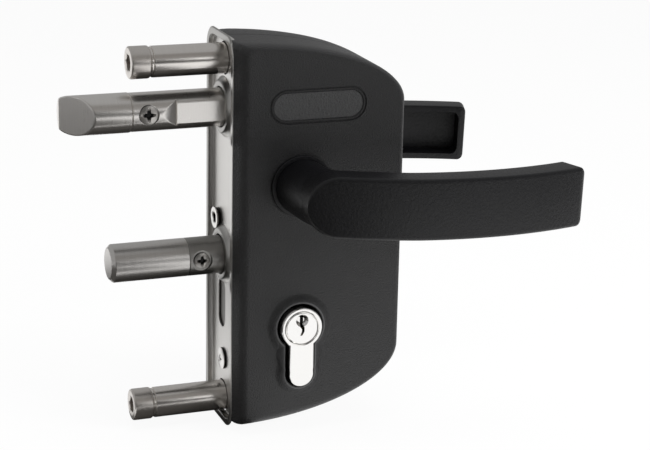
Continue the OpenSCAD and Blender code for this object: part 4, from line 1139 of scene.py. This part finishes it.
FLOOR_HALF = 4000.0
floor = flat_sheet("floor", -FLOOR_HALF, FLOOR_HALF, -FLOOR_HALF, FLOOR_HALF, FLOOR_Z)
floor.data.materials.append(floor_paper())

card_dark = surface("card_dark", Base_Color=(0.07, 0.067, 0.064, 1), Roughness=1.0)


def hide_card(card, material=card_dark):
    """A card that only reflections see."""
    card.data.materials.append(material)
    card.visible_camera = False
    card.visible_diffuse = False
    card.visible_shadow = False
    card.visible_transmission = False


# Cards on the floor: X from and to, Y from and to, in millimetres
CARDS = {
    "card_left": (-900, -60, -700, 200),
    "card_right": (330, 1200, -420, -150),
    "card_near": (-500, 30, -420, -90),
    "card_bottom_bolt": (-45, 10, -60, 15),
    "card_behind": (-8, 400, 30, 500),
    "card_far": (-3900, 3900, -3900, -1000),
}
for name, extent in CARDS.items():
    hide_card(flat_sheet(name, *extent, FLOOR_Z + 0.1))
# Cards under the bolts: the same, and their height
UNDER_BOLTS = {
    "card_top_sleeve": (-34, -1, -8, 2, 63.8),
    "card_latch": (-66, -1, -12.5, 3, 38.0),
    "card_deadbolt": (-46, -1, -12.5, 3, -22.0),
}
for name, extent in UNDER_BOLTS.items():
    hide_card(flat_sheet(name, *extent))
card_grey = surface(
    "card_grey",
    Base_Color=(0, 0, 0, 1),
    Roughness=1.0,
    Emission_Color=(1, 0.96, 0.92, 1),
    Emission_Strength=0.22,
)
hide_card(flat_sheet("card_above", -2500, 3500, -2800, -800, 1500), card_grey)
WALL_HALF, WALL_Y, WALL_TOP = 2500, -2200, 900
wall = [(x, WALL_Y, FLOOR_Z) for x in (-WALL_HALF, WALL_HALF)]
wall += [(x, WALL_Y, WALL_TOP) for x in (WALL_HALF, -WALL_HALF)]
hide_card(make("card_wall", np.array(wall, float), [[0, 1, 2, 3]]))


def soft_light(name, place, target, width, height, power):
    """Area light at a place, in metres, turned to face a target."""
    lamp = bpy.data.lights.new(name, "AREA")
    lamp.shape = "RECTANGLE"
    lamp.size = width
    lamp.size_y = height
    lamp.energy = power
    obj = bpy.data.objects.new(name, lamp)
    bpy.context.scene.collection.objects.link(obj)
    away = np.array(place) - np.array(target)
    away = away / np.linalg.norm(away)
    side = np.cross((0, 0, 1) if abs(away[2]) < 0.99 else (0, 1, 0), away)
    side = side / np.linalg.norm(side)
    turn = np.eye(4)
    turn[:3, 0] = side
    turn[:3, 1] = np.cross(away, side)
    turn[:3, 2] = away
    turn[:3, 3] = place
    obj.matrix_world = turn.T.tolist()
    return obj


AIM = (0.02, 0, 0)
overhead = soft_light("overhead", (0.1, -0.1, 0.9), AIM, width=0.8, height=0.6, power=6.0)
overhead.visible_glossy = False
front_right = soft_light("front_right", (0.8, -0.65, 0.4), AIM, width=0.4, height=0.4, power=8.0)
front_right.visible_glossy = False
soft_light("front_strip", (0.8, -2.1, 0.62), AIM, width=2.0, height=0.45, power=3.6)

YAW, PITCH, ROLL = math.radians(20.496), math.radians(16.727), math.radians(1.182)
FOCAL_PIXELS, PHOTO_WIDTH = 1920.0, 650
CAMERA_PLACE = (-0.217173, -0.702119, 0.223767)
forward = np.array([
    math.sin(YAW) * math.cos(PITCH),
    math.cos(YAW) * math.cos(PITCH),
    -math.sin(PITCH),
])
level = np.array([math.cos(YAW), -math.sin(YAW), 0.0])
above = np.cross(level, forward)
camera_data = bpy.data.cameras.new("photo_view")
camera_data.sensor_width = 36.0
camera_data.sensor_fit = "HORIZONTAL"
camera_data.lens = FOCAL_PIXELS * camera_data.sensor_width / PHOTO_WIDTH
camera = bpy.data.objects.new("photo_view", camera_data)
bpy.context.scene.collection.objects.link(camera)
pose = np.eye(4)
pose[:3, 0] = math.cos(ROLL) * level + math.sin(ROLL) * above
pose[:3, 1] = math.cos(ROLL) * above - math.sin(ROLL) * level
pose[:3, 2] = -forward
pose[:3, 3] = CAMERA_PLACE
camera.matrix_world = pose.T.tolist()
bpy.context.scene.camera = camera
bpy.context.scene.view_settings.view_transform = "Standard"
